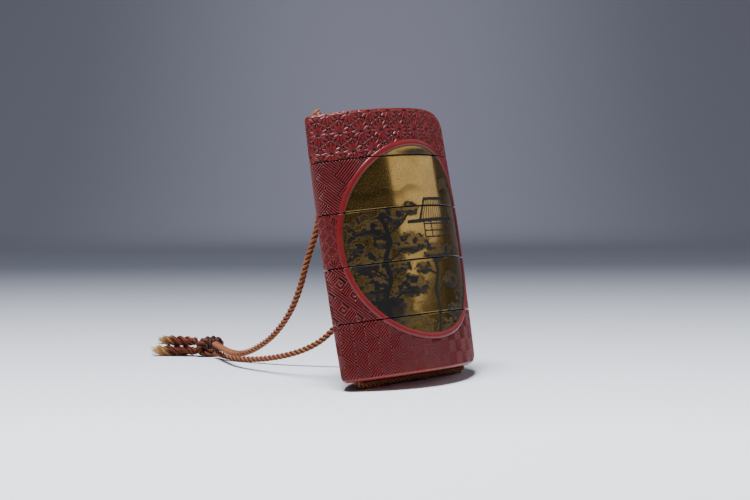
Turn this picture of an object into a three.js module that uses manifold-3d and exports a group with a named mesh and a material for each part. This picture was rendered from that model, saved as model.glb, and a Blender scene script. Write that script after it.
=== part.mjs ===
// A stacked lacquer case: a lid and four nesting cases threaded on one silk cord.
// The case leans back on the stretch of cord that crosses its base. Both ends of the cord
// fall behind the lid and run to one knot on the table. Millimetres, +Z up, +X along the
// case's width, -Y towards the front, and the origin on the table under the middle of the case.
import * as THREE from "three";
import { mergeVertices } from "three/addons/utils/BufferGeometryUtils.js";
import Module from "manifold-3d";

const wasm = await Module();
wasm.setup();

// The lacquer body: two shallow faces that meet in narrow rounded ends
const HEIGHT = 84;
const HALF_WIDTH = 30.6;
const HALF_DEPTH = 14;
const END_RADIUS = 2.6;
const SWELL = 0.65; // how far the walls stand out at half height
const DOME = 0.4; // rise of the lid's top above its edge
const FACE_EDGE = 0.9; // rounding of the lid's and the base's edges
const LID_CORNERS = { left: 1.8, right: 5.4 }; // seen from the front, the right one is rubbed round
const BASE_CORNERS = { left: 2.2, right: 3.6 };

// The sections, from the base up: the four cases' outer heights, and the lid has the rest
const CASE_HEIGHTS = [18.1, 17.3, 16.8, 16.5];
const SEAM_GAP = 0.3;

// Walls and nesting rims
const WALL = 3.2; // from the outside to a compartment
const BASE_THICKNESS = 2.4;
const LID_THICKNESS = 2.6;
const SHELF = 1.6; // floor of an upper compartment
const COMPARTMENT_END = 20.5; // half the length of a compartment
const RIM_WALL = 1.3;
const RIM_HEIGHT = 4;
const RIM_CLEARANCE = 0.3;

// The cord and the two channels that it runs in
const CORD_DIAMETER = 2.2;
const CORD_CLEARANCE = 0.3;
const CHANNEL_INSET = 5.2; // from a narrow end to the channel's axis
const MOUTH_ROUND = 1.2; // rounding of the channels' mouths
const CORD_FALL = 16.5; // where the cord crosses the lid's back edge, from the middle
const CORD_JOIN = 0.3; // between two lengths of cord

// The oval panel on each face, measured along the wall, with a raised bead round it
const PANEL_HALF_WIDTH = 29.3;
const PANEL_HALF_HEIGHT = 30;
const PANEL_CENTRE = 41.8;
const PANEL_DEPTH = 0.45;
const BEAD_WIDTH = 2;
const BEAD_RISE = 0.25;

// The carved grounds beside the panel, a different one on each section
const CARVING_DEPTH = 0.32;
const END_BAND = 1.6; // smooth strip, from the middle of a narrow end
const EDGE_BAND = 1.1; // smooth strip at the base's and the lid's edges
const STAR_PITCH = 7.4;
const PLAIT_PITCH = 4.8;
const FAN_PITCH = 3.9;
const FRET_PITCH = 5.4;
const LOZENGE_PITCH = 9;
const LOZENGE_RIDGE = 1.2; // left standing between one sunk lozenge and the next

// The knot, and the two loose ends beyond it
const KNOT_LENGTH = 10.6;
const KNOT_DEPTH = 7.8;
const KNOT_HEIGHT = 7.8;
const KNOT_TUBE = 1.27; // half the thickness of its turns, a little slacker than the cord
const KNOT_SWAYS = [0.4, 2.4]; // how the two upright turns stand to each other, in radians
const KNOT_PLACE = [-2.5, 86.9];
const TAIL_DIAMETER = 3.5; // loosened and frayed, so thicker than the cord

// The free lengths of cord, as they hang and lie: the lacquer case has them start where
// the cord leaves the lid's back edge, and they end at the knot
const LEFT_FALL = [
  [-17, 18.3, 75], [-16.8, 17.3, 67], [-16.7, 16.7, 59], [-17.2, 16.5, 52],
  [-18.2, 17.3, 46.3], [-18.9, 19.1, 41], [-19.1, 21, 35.8], [-19.1, 22.8, 31],
  [-19, 25.6, 25.5], [-18.9, 28.8, 20.8], [-18.6, 33.3, 16.1], [-18.2, 38.4, 12.1],
  [-17.6, 44.2, 8.9], [-17, 50.2, 6.4], [-16, 56.3, 5], [-13.8, 63, 4.6],
  [-10, 71, 4.6], [-7, 77, 4.8], [-4.9, 81.7, 5.1],
];
const RIGHT_FALL = [
  [17, 18.5, 74], [16.9, 17.8, 65], [16.7, 17.6, 56], [16, 18, 47.5],
  [14.6, 19.4, 39.5], [12.5, 21.8, 32], [10.3, 24.6, 25.5], [8.3, 27.7, 20],
  [6.6, 30.8, 15.6], [5.2, 33.6, 12.2], [3.9, 36.7, 9.3], [2.4, 40.2, 7],
  [0.8, 44, 5.2], [-1, 48.5, 3.7], [-2.5, 53.7, 2.5], [-3.8, 59.2, 1.6],
  [-5.1, 64.6, 1.2], [-6, 70.2, 1.2], [-6, 75.8, 1.6], [-4.9, 81.5, 2.1],
];
const UPPER_TAIL = [[-6.4, 91.9, 5.7], [-8.5, 95.7, 5.7], [-10.8, 99.8, 5.8], [-13.3, 104.2, 6]];
const LOWER_TAIL = [[-6.6, 91.6, 1.85], [-9.5, 95.8, 1.85], [-12.6, 100, 1.85], [-16, 105, 1.85]];

// How finely round shapes are cut into flat faces
const FACE_STEPS = 12;
const END_STEPS = 4;
const CORNER_STEPS = 4;
const PANEL_COLUMNS = 14;
const PANEL_ROWS = 2;
const CORD_SIDES = 8;
const BEND_STEPS = 4;
const FALL_STEPS = 24;
const LOOP_STEPS = 10;

const CORD_RADIUS = CORD_DIAMETER / 2;
const CHANNEL_RADIUS = CORD_RADIUS + CORD_CLEARANCE;
const CHANNEL_X = HALF_WIDTH - CHANNEL_INSET;
const CORD_BEND = MOUTH_ROUND + CHANNEL_RADIUS; // the cord follows the rounded mouth
const CORD_DROP = CHANNEL_RADIUS; // the cord's axis below the base, and above the lid
const BEAD_HALF_WIDTH = PANEL_HALF_WIDTH + BEAD_WIDTH;
const BEAD_HALF_HEIGHT = PANEL_HALF_HEIGHT + BEAD_WIDTH;
const CUT_MARGIN = 1; // how far a cutting solid reaches past what it cuts
const CASE_NAMES = ["bottom_case", "third_case", "second_case", "upper_case"];
const SEAMS = CASE_HEIGHTS.map((_, i) => CASE_HEIGHTS.slice(0, i + 1).reduce((a, b) => a + b));

// The plan outline: a large arc for each face and a small one for each end
const END_X = HALF_WIDTH - END_RADIUS;
const FACE_RADIUS = (HALF_DEPTH ** 2 + END_X ** 2 - END_RADIUS ** 2) / (2 * (HALF_DEPTH - END_RADIUS));
const FACE_SETBACK = FACE_RADIUS - HALF_DEPTH;
const FACE_ANGLE = Math.atan2(END_X, FACE_SETBACK);
const FACE_LENGTH = FACE_RADIUS * FACE_ANGLE;
const WALL_LENGTH = FACE_LENGTH + END_RADIUS * (Math.PI / 2 - FACE_ANGLE);
const CARVED_LENGTH = WALL_LENGTH - END_BAND;
const FRONT = -1;
const BACK = 1;

// The case tips back until the cord under it and its back edge both touch the table
const LEAN = leanOnCord();
const LIFT = CORD_DROP * Math.cos(LEAN) + CORD_RADIUS; // the middle of the base above the table

function leanOnCord() {
  const reach = HALF_DEPTH - FACE_EDGE;
  const drop = CORD_DROP + FACE_EDGE;
  return Math.atan2(drop, reach) + Math.asin((CORD_RADIUS - FACE_EDGE) / Math.hypot(reach, drop));
}

// Between a three.js geometry and a solid that can be joined and cut
function solidFrom(geometry) {
  const bare = geometry.index ? geometry.toNonIndexed() : geometry.clone();
  for (const name of Object.keys(bare.attributes)) {
    if (name !== "position") bare.deleteAttribute(name);
  }
  const merged = mergeVertices(bare, 1e-4);
  const vertProperties = merged.attributes.position.array;
  const triVerts = new Uint32Array(merged.index.array);
  return new wasm.Manifold(new wasm.Mesh({ numProp: 3, vertProperties, triVerts }));
}

function geometryFrom(solid) {
  const { numProp, numVert, vertProperties, triVerts } = solid.getMesh();
  const positions = new Float32Array(numVert * 3);
  for (let i = 0; i < numVert; i++) {
    positions.set(vertProperties.subarray(i * numProp, i * numProp + 3), i * 3);
  }
  const geometry = new THREE.BufferGeometry();
  geometry.setAttribute("position", new THREE.BufferAttribute(positions, 3));
  geometry.setIndex(new THREE.BufferAttribute(triVerts, 1));
  geometry.computeVertexNormals();
  return geometry;
}

// A solid from its corner points and its triangles
function skin(points, triangles) {
  const geometry = new THREE.BufferGeometry().setFromPoints(points);
  geometry.setIndex(triangles.flat());
  return solidFrom(geometry);
}

// The lacquer wall

function swellAt(z) {
  const height = Math.min(Math.max(z / HEIGHT, 0), 1);
  return SWELL * (1 - (2 * height - 1) ** 2);
}

// How far a rounding of the given radius has drawn in, at a distance inside the edge it ends at
function roundingAt(radius, distance) {
  const rest = Math.max(radius - Math.max(distance, 0), 0);
  return radius - Math.sqrt(radius ** 2 - rest ** 2);
}

// The point of a face's wall at a distance along it from its middle, raised by lift
function wallPoint(face, along, z, lift) {
  const side = along < 0 ? -1 : 1;
  const distance = Math.abs(along);
  const onFace = distance <= FACE_LENGTH;
  const angle = onFace ? distance / FACE_RADIUS : FACE_ANGLE + (distance - FACE_LENGTH) / END_RADIUS;
  const radius = (onFace ? FACE_RADIUS : END_RADIUS) + swellAt(z) + lift -
    roundingAt(FACE_EDGE, Math.min(z, HEIGHT - z));
  const x = radius * Math.sin(angle) + (onFace ? 0 : END_X);
  const y = radius * Math.cos(angle) - (onFace ? FACE_SETBACK : 0);
  const corner = side < 0 ? "left" : "right";
  const drawnIn = roundingAt(LID_CORNERS[corner], HEIGHT - z) + roundingAt(BASE_CORNERS[corner], z);
  return new THREE.Vector3(side * x * (1 - drawnIn / HALF_WIDTH), face * y, z);
}

// The stations of one ring round the case, anticlockwise seen from above
function ringStations() {
  const stations = [];
  const walk = (face, from, to, steps) => {
    for (let i = 0; i < steps; i++) stations.push({ face, along: from + (to - from) * i / steps });
  };
  walk(FRONT, -FACE_LENGTH, FACE_LENGTH, FACE_STEPS);
  walk(FRONT, FACE_LENGTH, WALL_LENGTH, END_STEPS / 2);
  walk(BACK, WALL_LENGTH, FACE_LENGTH, END_STEPS / 2);
  walk(BACK, FACE_LENGTH, -FACE_LENGTH, FACE_STEPS);
  walk(BACK, -FACE_LENGTH, -WALL_LENGTH, END_STEPS / 2);
  walk(FRONT, -WALL_LENGTH, -FACE_LENGTH, END_STEPS / 2);
  return stations;
}

// A solid through rings of points from the lowest to the highest, closed by a fan at each end
function loft(rings, bottom, top) {
  const count = rings[0].length;
  const points = [...rings.flat(), bottom, top];
  const bottomAt = points.length - 2;
  const topAt = points.length - 1;
  const triangles = [];
  for (let k = 0; k < count; k++) {
    const next = (k + 1) % count;
    triangles.push([bottomAt, next, k]);
    for (let r = 0; r + 1 < rings.length; r++) {
      const a = r * count + k;
      const b = r * count + next;
      triangles.push([a, b, b + count], [a, b + count, a + count]);
    }
    triangles.push([topAt, (rings.length - 1) * count + k, (rings.length - 1) * count + next]);
  }
  return skin(points, triangles);
}

// Distances from an edge of the case at which rings follow its rounded corners
function cornerLevels(corners) {
  const radius = Math.max(corners.left, corners.right);
  const levels = [];
  for (let i = 0; i < CORNER_STEPS; i++) {
    levels.push(radius * (1 - Math.sin(Math.PI / 2 * i / CORNER_STEPS)));
  }
  return levels;
}

function bodyBetween(low, high) {
  const stations = ringStations();
  const ring = (z) => stations.map(({ face, along }) => wallPoint(face, along, z, 0));
  const isLid = high === HEIGHT;
  const levels = [low, high];
  if (low === 0) levels.push(...cornerLevels(BASE_CORNERS));
  if (isLid) levels.push(...cornerLevels(LID_CORNERS).map((depth) => HEIGHT - depth));
  const rings = levels.sort((a, b) => a - b).map(ring);
  if (isLid) {
    const last = rings.at(-1);
    rings.push(last.map((p) => new THREE.Vector3(p.x / 2, p.y / 2, HEIGHT + DOME * 0.75)));
  }
  const bottom = new THREE.Vector3(0, 0, low);
  const top = new THREE.Vector3(0, 0, isLid ? HEIGHT + DOME : high);
  return loft(rings, bottom, top);
}

// Cutting solids

// Everything between two heights
function slab(low, high) {
  const size = 4 * HALF_WIDTH;
  return solidFrom(new THREE.BoxGeometry(size, size, high - low).translate(0, 0, (low + high) / 2));
}

// A straight block whose plan is the case's outline, drawn in by inset and cut off at the ends
function plug(inset, end, low, high) {
  const radius = FACE_RADIUS - inset;
  const shape = new THREE.Shape();
  const angle = Math.asin(end / radius);
  shape.absarc(0, -FACE_SETBACK, radius, Math.PI / 2 - angle, Math.PI / 2 + angle, false);
  shape.absarc(0, FACE_SETBACK, radius, -Math.PI / 2 - angle, -Math.PI / 2 + angle, false);
  shape.closePath();
  const options = { depth: high - low, bevelEnabled: false, curveSegments: FACE_STEPS };
  return solidFrom(new THREE.ExtrudeGeometry(shape, options).translate(0, 0, low));
}

// A point off the wall that ignores the rounded edges, where a ground would end too deep
function levelPoint(face, along, z, lift) {
  const clear = Math.min(Math.max(z, EDGE_BAND), HEIGHT - EDGE_BAND);
  return wallPoint(face, along, clear, lift).setZ(z);
}

// A prism that stands on the wall over a small outline of [along, z] points
function stamp(face, outline, depth) {
  const flat = outline.map(([along, z]) => new THREE.Vector2(along, z));
  if (THREE.ShapeUtils.isClockWise(flat)) flat.reverse();
  const count = flat.length;
  const points = [-depth, CUT_MARGIN].flatMap((lift) => flat.map((p) => levelPoint(face, p.x, p.y, lift)));
  const caps = THREE.ShapeUtils.triangulateShape(flat, []);
  const triangles = [];
  for (const [a, b, c] of caps) triangles.push([a, c, b], [a + count, b + count, c + count]);
  for (let k = 0; k < count; k++) {
    const next = (k + 1) % count;
    triangles.push([k, next, next + count], [k, next + count, k + count]);
  }
  return skin(points, face === FRONT ? triangles : triangles.map(([a, b, c]) => [a, c, b]));
}

// An oval block over a face, between two lifts, that follows the wall's curve
function ovalBlock(face, halfWidth, halfHeight, low, high) {
  const points = [];
  const rows = PANEL_ROWS + 1;
  for (let i = 0; i <= PANEL_COLUMNS; i++) {
    const turn = Math.PI * i / PANEL_COLUMNS;
    for (const lift of [low, high]) {
      for (let j = 0; j < rows; j++) {
        const z = PANEL_CENTRE + halfHeight * Math.sin(turn) * (2 * j / PANEL_ROWS - 1);
        points.push(wallPoint(face, -halfWidth * Math.cos(turn), z, lift));
      }
    }
  }
  const at = (i, layer, j) => (i * 2 + layer) * rows + j;
  const triangles = [];
  const addFace = (a, b, c, d) => triangles.push([a, b, c], [a, c, d]);
  for (let i = 0; i < PANEL_COLUMNS; i++) {
    for (let j = 0; j < PANEL_ROWS; j++) {
      addFace(at(i, 1, j), at(i + 1, 1, j), at(i + 1, 1, j + 1), at(i, 1, j + 1));
      addFace(at(i, 0, j), at(i, 0, j + 1), at(i + 1, 0, j + 1), at(i + 1, 0, j));
    }
    addFace(at(i, 0, 0), at(i + 1, 0, 0), at(i + 1, 1, 0), at(i, 1, 0));
    addFace(at(i, 0, PANEL_ROWS), at(i, 1, PANEL_ROWS), at(i + 1, 1, PANEL_ROWS), at(i + 1, 0, PANEL_ROWS));
  }
  return skin(points, face === FRONT ? triangles : triangles.map(([a, b, c]) => [a, c, b]));
}

// The carved grounds: each gives the outlines to sink, in [along, z], over a height range

// Rows of centres that a ground repeats at, every other row set back by half a pitch
function centres(acrossPitch, upPitch, low, high) {
  const found = [];
  const columns = Math.ceil(CARVED_LENGTH / acrossPitch);
  const firstRow = Math.floor((low - PANEL_CENTRE) / upPitch);
  const lastRow = Math.ceil((high - PANEL_CENTRE) / upPitch);
  for (let row = firstRow; row <= lastRow; row++) {
    const shift = row % 2 === 0 ? 0 : 0.5;
    for (let column = -columns - 1; column <= columns; column++) {
      found.push({ along: (column + shift) * acrossPitch, z: PANEL_CENTRE + row * upPitch, row, column });
    }
  }
  return found;
}

function polygonAt({ along, z }, offsets) {
  return offsets.map(([u, v]) => [along + u, z + v]);
}

// Three-pointed hemp-leaf stars on the lid, upright and upside down from row to row
function starOutlines(low, high) {
  const points = 6;
  return centres(STAR_PITCH, STAR_PITCH * Math.sqrt(3) / 2, low, high).map((c) => {
    const star = Array.from({ length: points }, (_, i) => {
      const reach = STAR_PITCH * (i % 2 === 0 ? 0.5 : 0.16);
      const turn = (c.row % 2 === 0 ? 1 : -1) * Math.PI / 2 + 2 * Math.PI * i / points;
      return [reach * Math.cos(turn), reach * Math.sin(turn)];
    });
    return polygonAt(c, star);
  });
}

// Plaited strips on the upper case, slanting to and fro from row to row
function plaitOutlines(low, high) {
  const half = PLAIT_PITCH / 3;
  const width = PLAIT_PITCH / 10;
  return centres(PLAIT_PITCH / 2, PLAIT_PITCH * 0.8, low, high).map((c) => {
    const slant = c.row % 2 === 0 ? 1 : -1;
    return polygonAt(c, [
      [-half - width, -slant * half], [-half + width, -slant * half],
      [half + width, slant * half], [half - width, slant * half],
    ]);
  });
}

// Small lozenges with a fan's spread on the second case
function fanOutlines(low, high) {
  const half = FAN_PITCH * 0.4;
  const fan = [[0, -half], [half, 0], [half / 2, half / 2], [0, half / 4], [-half / 2, half / 2], [-half, 0]];
  return centres(FAN_PITCH, FAN_PITCH / 2, low, high).map((c) => polygonAt(c, fan));
}

// Key fret hooks on the third case
function fretOutlines(low, high) {
  const cell = FRET_PITCH / 6;
  const hook = [[-2, -2], [2, -2], [2, -1], [-1, -1], [-1, 1], [1, 1], [1, 0], [2, 0], [2, 2], [-2, 2]]
    .map(([u, v]) => [u * cell, v * cell]);
  return centres(FRET_PITCH, FRET_PITCH * 0.8, low, high).map((c) => polygonAt(c, hook));
}

// Large sunk lozenges on the bottom case
function lozengeOutlines(low, high) {
  const reach = (LOZENGE_PITCH - LOZENGE_RIDGE) / 2;
  const lozenge = [[0, -reach], [reach, 0], [0, reach], [-reach, 0]];
  return centres(LOZENGE_PITCH, LOZENGE_PITCH / 2, low, high).map((c) => polygonAt(c, lozenge));
}

// All sinkings of a ground on the front, clear of the bead, the ends and the smooth edges.
// The back, which the case leans on, keeps its panel and bead on a smooth wall.
function carvingCutter(outlines, low, high) {
  const cutters = [];
  for (const outline of outlines(low, high)) {
    if (outline.some(([along]) => Math.abs(along) > CARVED_LENGTH)) continue;
    if (outline.every((point) => inOval(point))) continue;
    if (outline.every(([, z]) => z < low) || outline.every(([, z]) => z > high)) continue;
    cutters.push(stamp(FRONT, outline, CARVING_DEPTH));
  }
  const grounds = wasm.Manifold.union(cutters).intersect(slab(low, high));
  const reach = 2 * CUT_MARGIN;
  return grounds.subtract(ovalBlock(FRONT, BEAD_HALF_WIDTH, BEAD_HALF_HEIGHT, -reach, reach));
}

function inOval([along, z]) {
  return (along / BEAD_HALF_WIDTH) ** 2 + ((z - PANEL_CENTRE) / BEAD_HALF_HEIGHT) ** 2 < 1;
}

// The bead round both panels, and the panels' own sunk grounds
function withPanels(body, low, high) {
  for (const face of [FRONT, BACK]) {
    const deep = 2 * CUT_MARGIN;
    const bead = ovalBlock(face, BEAD_HALF_WIDTH, BEAD_HALF_HEIGHT, -deep, BEAD_RISE);
    body = body.add(bead.intersect(slab(low, high)));
    body = body.subtract(ovalBlock(face, PANEL_HALF_WIDTH, PANEL_HALF_HEIGHT, -PANEL_DEPTH, deep));
  }
  return body;
}

// A channel mouth that opens in a quarter round, at the top or the base
function mouthAt(side, z, up) {
  const profile = [new THREE.Vector2(0, -CUT_MARGIN)];
  profile.push(new THREE.Vector2(CHANNEL_RADIUS + MOUTH_ROUND, -CUT_MARGIN));
  for (let i = 0; i <= BEND_STEPS; i++) {
    const turn = Math.PI / 2 * i / BEND_STEPS;
    const x = CHANNEL_RADIUS + MOUTH_ROUND * (1 - Math.sin(turn));
    profile.push(new THREE.Vector2(x, MOUTH_ROUND * (1 - Math.cos(turn))));
  }
  profile.push(new THREE.Vector2(0, MOUTH_ROUND));
  const flare = new THREE.LatheGeometry(profile, 2 * CORD_SIDES).rotateX(up ? -Math.PI / 2 : Math.PI / 2);
  return solidFrom(flare.translate(side * CHANNEL_X, 0, z));
}

function channelCutter() {
  let cutter = null;
  for (const side of [-1, 1]) {
    const length = HEIGHT + 2 * CUT_MARGIN;
    const bore = new THREE.CylinderGeometry(CHANNEL_RADIUS, CHANNEL_RADIUS, length, 2 * CORD_SIDES);
    const solid = solidFrom(bore.rotateX(Math.PI / 2).translate(side * CHANNEL_X, 0, HEIGHT / 2))
      .add(mouthAt(side, 0, false))
      .add(mouthAt(side, HEIGHT, true));
    cutter = cutter ? cutter.add(solid) : solid;
  }
  return cutter;
}

// One section of the stack. The lowest has no socket below, and the lid has no rim above.
function section(index, channels) {
  const isBase = index === 0;
  const isLid = index === SEAMS.length;
  const low = isBase ? 0 : SEAMS[index - 1] + SEAM_GAP / 2;
  const high = isLid ? HEIGHT : SEAMS[index] - SEAM_GAP / 2;
  const rimInset = WALL - RIM_WALL;
  const rimEnd = COMPARTMENT_END + RIM_WALL;
  const socketDepth = RIM_HEIGHT + RIM_CLEARANCE;
  const floor = low + (isBase ? BASE_THICKNESS : socketDepth + SHELF);
  const grounds = [lozengeOutlines, fretOutlines, fanOutlines, plaitOutlines, starOutlines];
  let body = withPanels(bodyBetween(low, high), low, high);
  const carvedLow = isBase ? EDGE_BAND : low - CUT_MARGIN;
  const carvedHigh = isLid ? HEIGHT - EDGE_BAND : high + CUT_MARGIN;
  body = body.subtract(carvingCutter(grounds[index], carvedLow, carvedHigh));
  if (isLid) {
    body = body.subtract(plug(WALL, COMPARTMENT_END, low - CUT_MARGIN, HEIGHT - LID_THICKNESS));
  } else {
    body = body.add(plug(rimInset, rimEnd, high - CUT_MARGIN, high + RIM_HEIGHT));
    body = body.subtract(plug(WALL, COMPARTMENT_END, floor, high + RIM_HEIGHT + CUT_MARGIN));
  }
  if (!isBase) {
    const inset = rimInset - RIM_CLEARANCE;
    body = body.subtract(plug(inset, rimEnd + RIM_CLEARANCE, low - CUT_MARGIN, low + socketDepth));
  }
  return body.subtract(channels);
}

// The cord

// A path through stations that may be unevenly spaced, straight from one to the next
class StationPath extends THREE.Curve {
  constructor(stations) {
    super();
    this.stations = stations;
  }
  getPoint(t) {
    const place = t * (this.stations.length - 1);
    const first = Math.min(Math.floor(place), this.stations.length - 2);
    return this.stations[first].clone().lerp(this.stations[first + 1], place - first);
  }
  getUtoTmapping(u) {
    return u;
  }
  getTangent(t) {
    const last = this.stations.length - 1;
    const here = Math.round(t * last);
    const way = (a, b) => this.stations[b].clone().sub(this.stations[a]).normalize();
    if (here === 0) return way(0, 1);
    if (here === last) return way(last - 1, last);
    return way(here - 1, here).add(way(here, here + 1)).normalize();
  }
}

function cordAlong(path, steps, diameter) {
  const corners = Array.from({ length: CORD_SIDES }, (_, i) => {
    const turn = 2 * Math.PI * i / CORD_SIDES;
    return new THREE.Vector2(Math.cos(turn), Math.sin(turn)).multiplyScalar(diameter / 2);
  });
  const round = new THREE.Shape(corners);
  return new THREE.ExtrudeGeometry(round, { steps, extrudePath: path, bevelEnabled: false });
}

// Where the cord lets go of the lid's back edge, in the case's own frame
function fallPoint(side) {
  const along = FACE_RADIUS * Math.asin(CORD_FALL / FACE_RADIUS);
  return wallPoint(BACK, side * along, HEIGHT - FACE_EDGE, CORD_RADIUS + CORD_CLEARANCE);
}

// Half of the threaded cord, from the middle of the base, up its channel and over the lid
function halfThread(side) {
  const stations = [new THREE.Vector3(0, 0, -CORD_DROP)];
  const addBend = (centre, from, to, end) => {
    for (let i = 0; i <= BEND_STEPS; i++) {
      const turn = end * i / BEND_STEPS;
      const arm = from.clone().multiplyScalar(Math.cos(turn)).addScaledVector(to, Math.sin(turn));
      stations.push(centre.clone().addScaledVector(arm, CORD_BEND));
    }
  };
  const up = new THREE.Vector3(0, 0, 1);
  const down = new THREE.Vector3(0, 0, -1);
  const outward = new THREE.Vector3(side, 0, 0);
  const quarter = Math.PI / 2;
  const corner = new THREE.Vector3(side * (CHANNEL_X - CORD_BEND), 0, CORD_BEND - CORD_DROP);
  addBend(corner, down, outward, quarter);
  const hole = new THREE.Vector3(side * CHANNEL_X, 0, HEIGHT + CORD_DROP - CORD_BEND);
  const fall = fallPoint(side).setZ(hole.z);
  const way = fall.clone().sub(hole).normalize();
  const back = way.clone().negate();
  addBend(hole.clone().addScaledVector(way, CORD_BEND), back, up, quarter);
  const lastTurn = quarter - LEAN;
  const edge = fall.clone().addScaledVector(way, -CORD_BEND * Math.sin(lastTurn));
  addBend(edge, up, way, lastTurn);
  return stations;
}

function threadedCord() {
  const right = halfThread(1);
  const left = halfThread(-1).slice(1).reverse();
  const stations = [...left, ...right];
  return cordAlong(new StationPath(stations), stations.length - 1, CORD_DIAMETER);
}

// A free length that starts a join's gap past the threaded cord, in line with it
function fallingCord(side, points, frame) {
  const stations = halfThread(side);
  const end = stations.at(-1).clone().applyMatrix4(frame);
  const before = stations.at(-2).clone().applyMatrix4(frame);
  const way = end.clone().sub(before).normalize();
  const start = end.clone().addScaledVector(way, CORD_JOIN);
  const lead = start.clone().addScaledVector(way, CORD_DIAMETER);
  const rest = points.map((p) => new THREE.Vector3(...p));
  const path = new THREE.CatmullRomCurve3([start, lead, ...rest], false, "centripetal");
  return cordAlong(path, FALL_STEPS, CORD_DIAMETER);
}

function tail(points) {
  const path = new THREE.CatmullRomCurve3(points.map((p) => new THREE.Vector3(...p)));
  return cordAlong(path, BEND_STEPS, TAIL_DIAMETER);
}

// The knot: one level turn and two upright ones, drawn tight round a filled middle
function knotSolid() {
  const turnRadius = KNOT_HEIGHT / 2 - KNOT_TUBE;
  const heartRadius = KNOT_HEIGHT / 2 - KNOT_TUBE * 0.9;
  const heart = solidFrom(new THREE.SphereGeometry(heartRadius, LOOP_STEPS, LOOP_STEPS / 2));
  const turns = [{ tip: 0, sway: 0 }, ...KNOT_SWAYS.map((sway) => ({ tip: Math.PI / 2, sway }))];
  const ball = turns.reduce((solid, { tip, sway }) => {
    const loop = new THREE.TorusGeometry(turnRadius, KNOT_TUBE, CORD_SIDES - 2, LOOP_STEPS);
    return solid.add(solidFrom(loop.rotateX(tip).rotateZ(sway)));
  }, heart);
  return geometryFrom(ball).scale(KNOT_LENGTH / KNOT_HEIGHT, KNOT_DEPTH / KNOT_HEIGHT, 1);
}

// The finished object

const lacquer = new THREE.MeshStandardMaterial({ color: 0x7a2a27, roughness: 0.34, metalness: 0 });
const silk = new THREE.MeshStandardMaterial({ color: 0xa56c4a, roughness: 0.8, metalness: 0 });
const darkSilk = new THREE.MeshStandardMaterial({ color: 0x4a2723, roughness: 0.8, metalness: 0 });

function mesh(name, geometry, material) {
  const made = new THREE.Mesh(geometry, material);
  made.name = name;
  return made;
}

const leaning = new THREE.Group();
leaning.rotation.x = -LEAN;
leaning.position.z = LIFT;
const channels = channelCutter();
[...CASE_NAMES, "lid"].forEach((name, index) => {
  leaning.add(mesh(name, geometryFrom(section(index, channels)), lacquer));
});
leaning.add(mesh("cord_through_case", threadedCord(), silk));

// The middle of the standing case, seen from above, goes over the origin
const part = new THREE.Group();
part.add(leaning);
part.updateMatrixWorld(true);
leaning.position.y = -new THREE.Box3().setFromObject(leaning, true).getCenter(new THREE.Vector3()).y;
leaning.updateMatrixWorld(true);

part.add(mesh("strand_left", fallingCord(-1, LEFT_FALL, leaning.matrixWorld), silk));
part.add(mesh("strand_right", fallingCord(1, RIGHT_FALL, leaning.matrixWorld), silk));
part.add(mesh("tail_upper", tail(UPPER_TAIL), silk));
part.add(mesh("tail_lower", tail(LOWER_TAIL), silk));
const knot = mesh("knot", knotSolid(), darkSilk);
knot.position.set(...KNOT_PLACE, KNOT_HEIGHT / 2);
knot.rotation.z = -Math.PI / 4;
part.add(knot);

export default part;
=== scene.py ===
# %% [markdown]
# # A lacquer inro leaning on its cord
#
# An inro is a small case of stacked sections, worn hanging from the belt on a silk cord. This one
# has a lid and four cases in red lacquer, carved with a different ground on each section, and an
# oval gold panel framed by a rounded bead. The cord runs under the base and up two channels, over
# the lid, and down behind the case to one knot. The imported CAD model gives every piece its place
# and true size. Here each piece gets the surface that a hand would feel: carved ridges, worn
# edges, painted gold, and the lay of a twisted cord.

# %% The tools and the frame
import math

import bmesh
import bpy
import numpy as np
from mathutils import Matrix, Vector


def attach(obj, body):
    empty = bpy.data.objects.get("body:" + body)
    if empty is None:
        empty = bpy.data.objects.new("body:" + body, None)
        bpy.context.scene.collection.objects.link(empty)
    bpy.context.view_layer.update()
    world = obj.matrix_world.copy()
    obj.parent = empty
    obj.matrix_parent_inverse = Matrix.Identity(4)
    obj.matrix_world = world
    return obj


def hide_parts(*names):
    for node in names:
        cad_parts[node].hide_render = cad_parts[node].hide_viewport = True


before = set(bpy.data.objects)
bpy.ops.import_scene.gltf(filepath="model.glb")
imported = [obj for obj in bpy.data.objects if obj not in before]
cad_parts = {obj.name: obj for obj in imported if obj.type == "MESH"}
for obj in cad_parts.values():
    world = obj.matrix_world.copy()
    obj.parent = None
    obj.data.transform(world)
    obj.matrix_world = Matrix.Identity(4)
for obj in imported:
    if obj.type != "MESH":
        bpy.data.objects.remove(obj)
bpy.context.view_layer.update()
MM = 0.001
print("the model holds", sorted(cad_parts))

# %% [markdown]
# ## The camera
#
# The camera stands a hand's height above the table, half a metre away, to the left of the case's
# front, and looks down a little. A long lens keeps the upright edges almost parallel. The picture
# is turned by a third of a degree, as a hand-levelled camera is.

# %% The camera
CAMERA_PLACE = Vector((-381.2, -350.6, 76.7)) * MM
CAMERA_HEADING = Vector((0.7286, 0.6850, 0.0)).normalized()
CAMERA_DIP = math.radians(3.85)
CAMERA_ROLL = math.radians(0.35)
CAMERA_LENS = 77.23
SENSOR_WIDTH = 36.0
NEAREST_SEEN = 10.0

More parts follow.
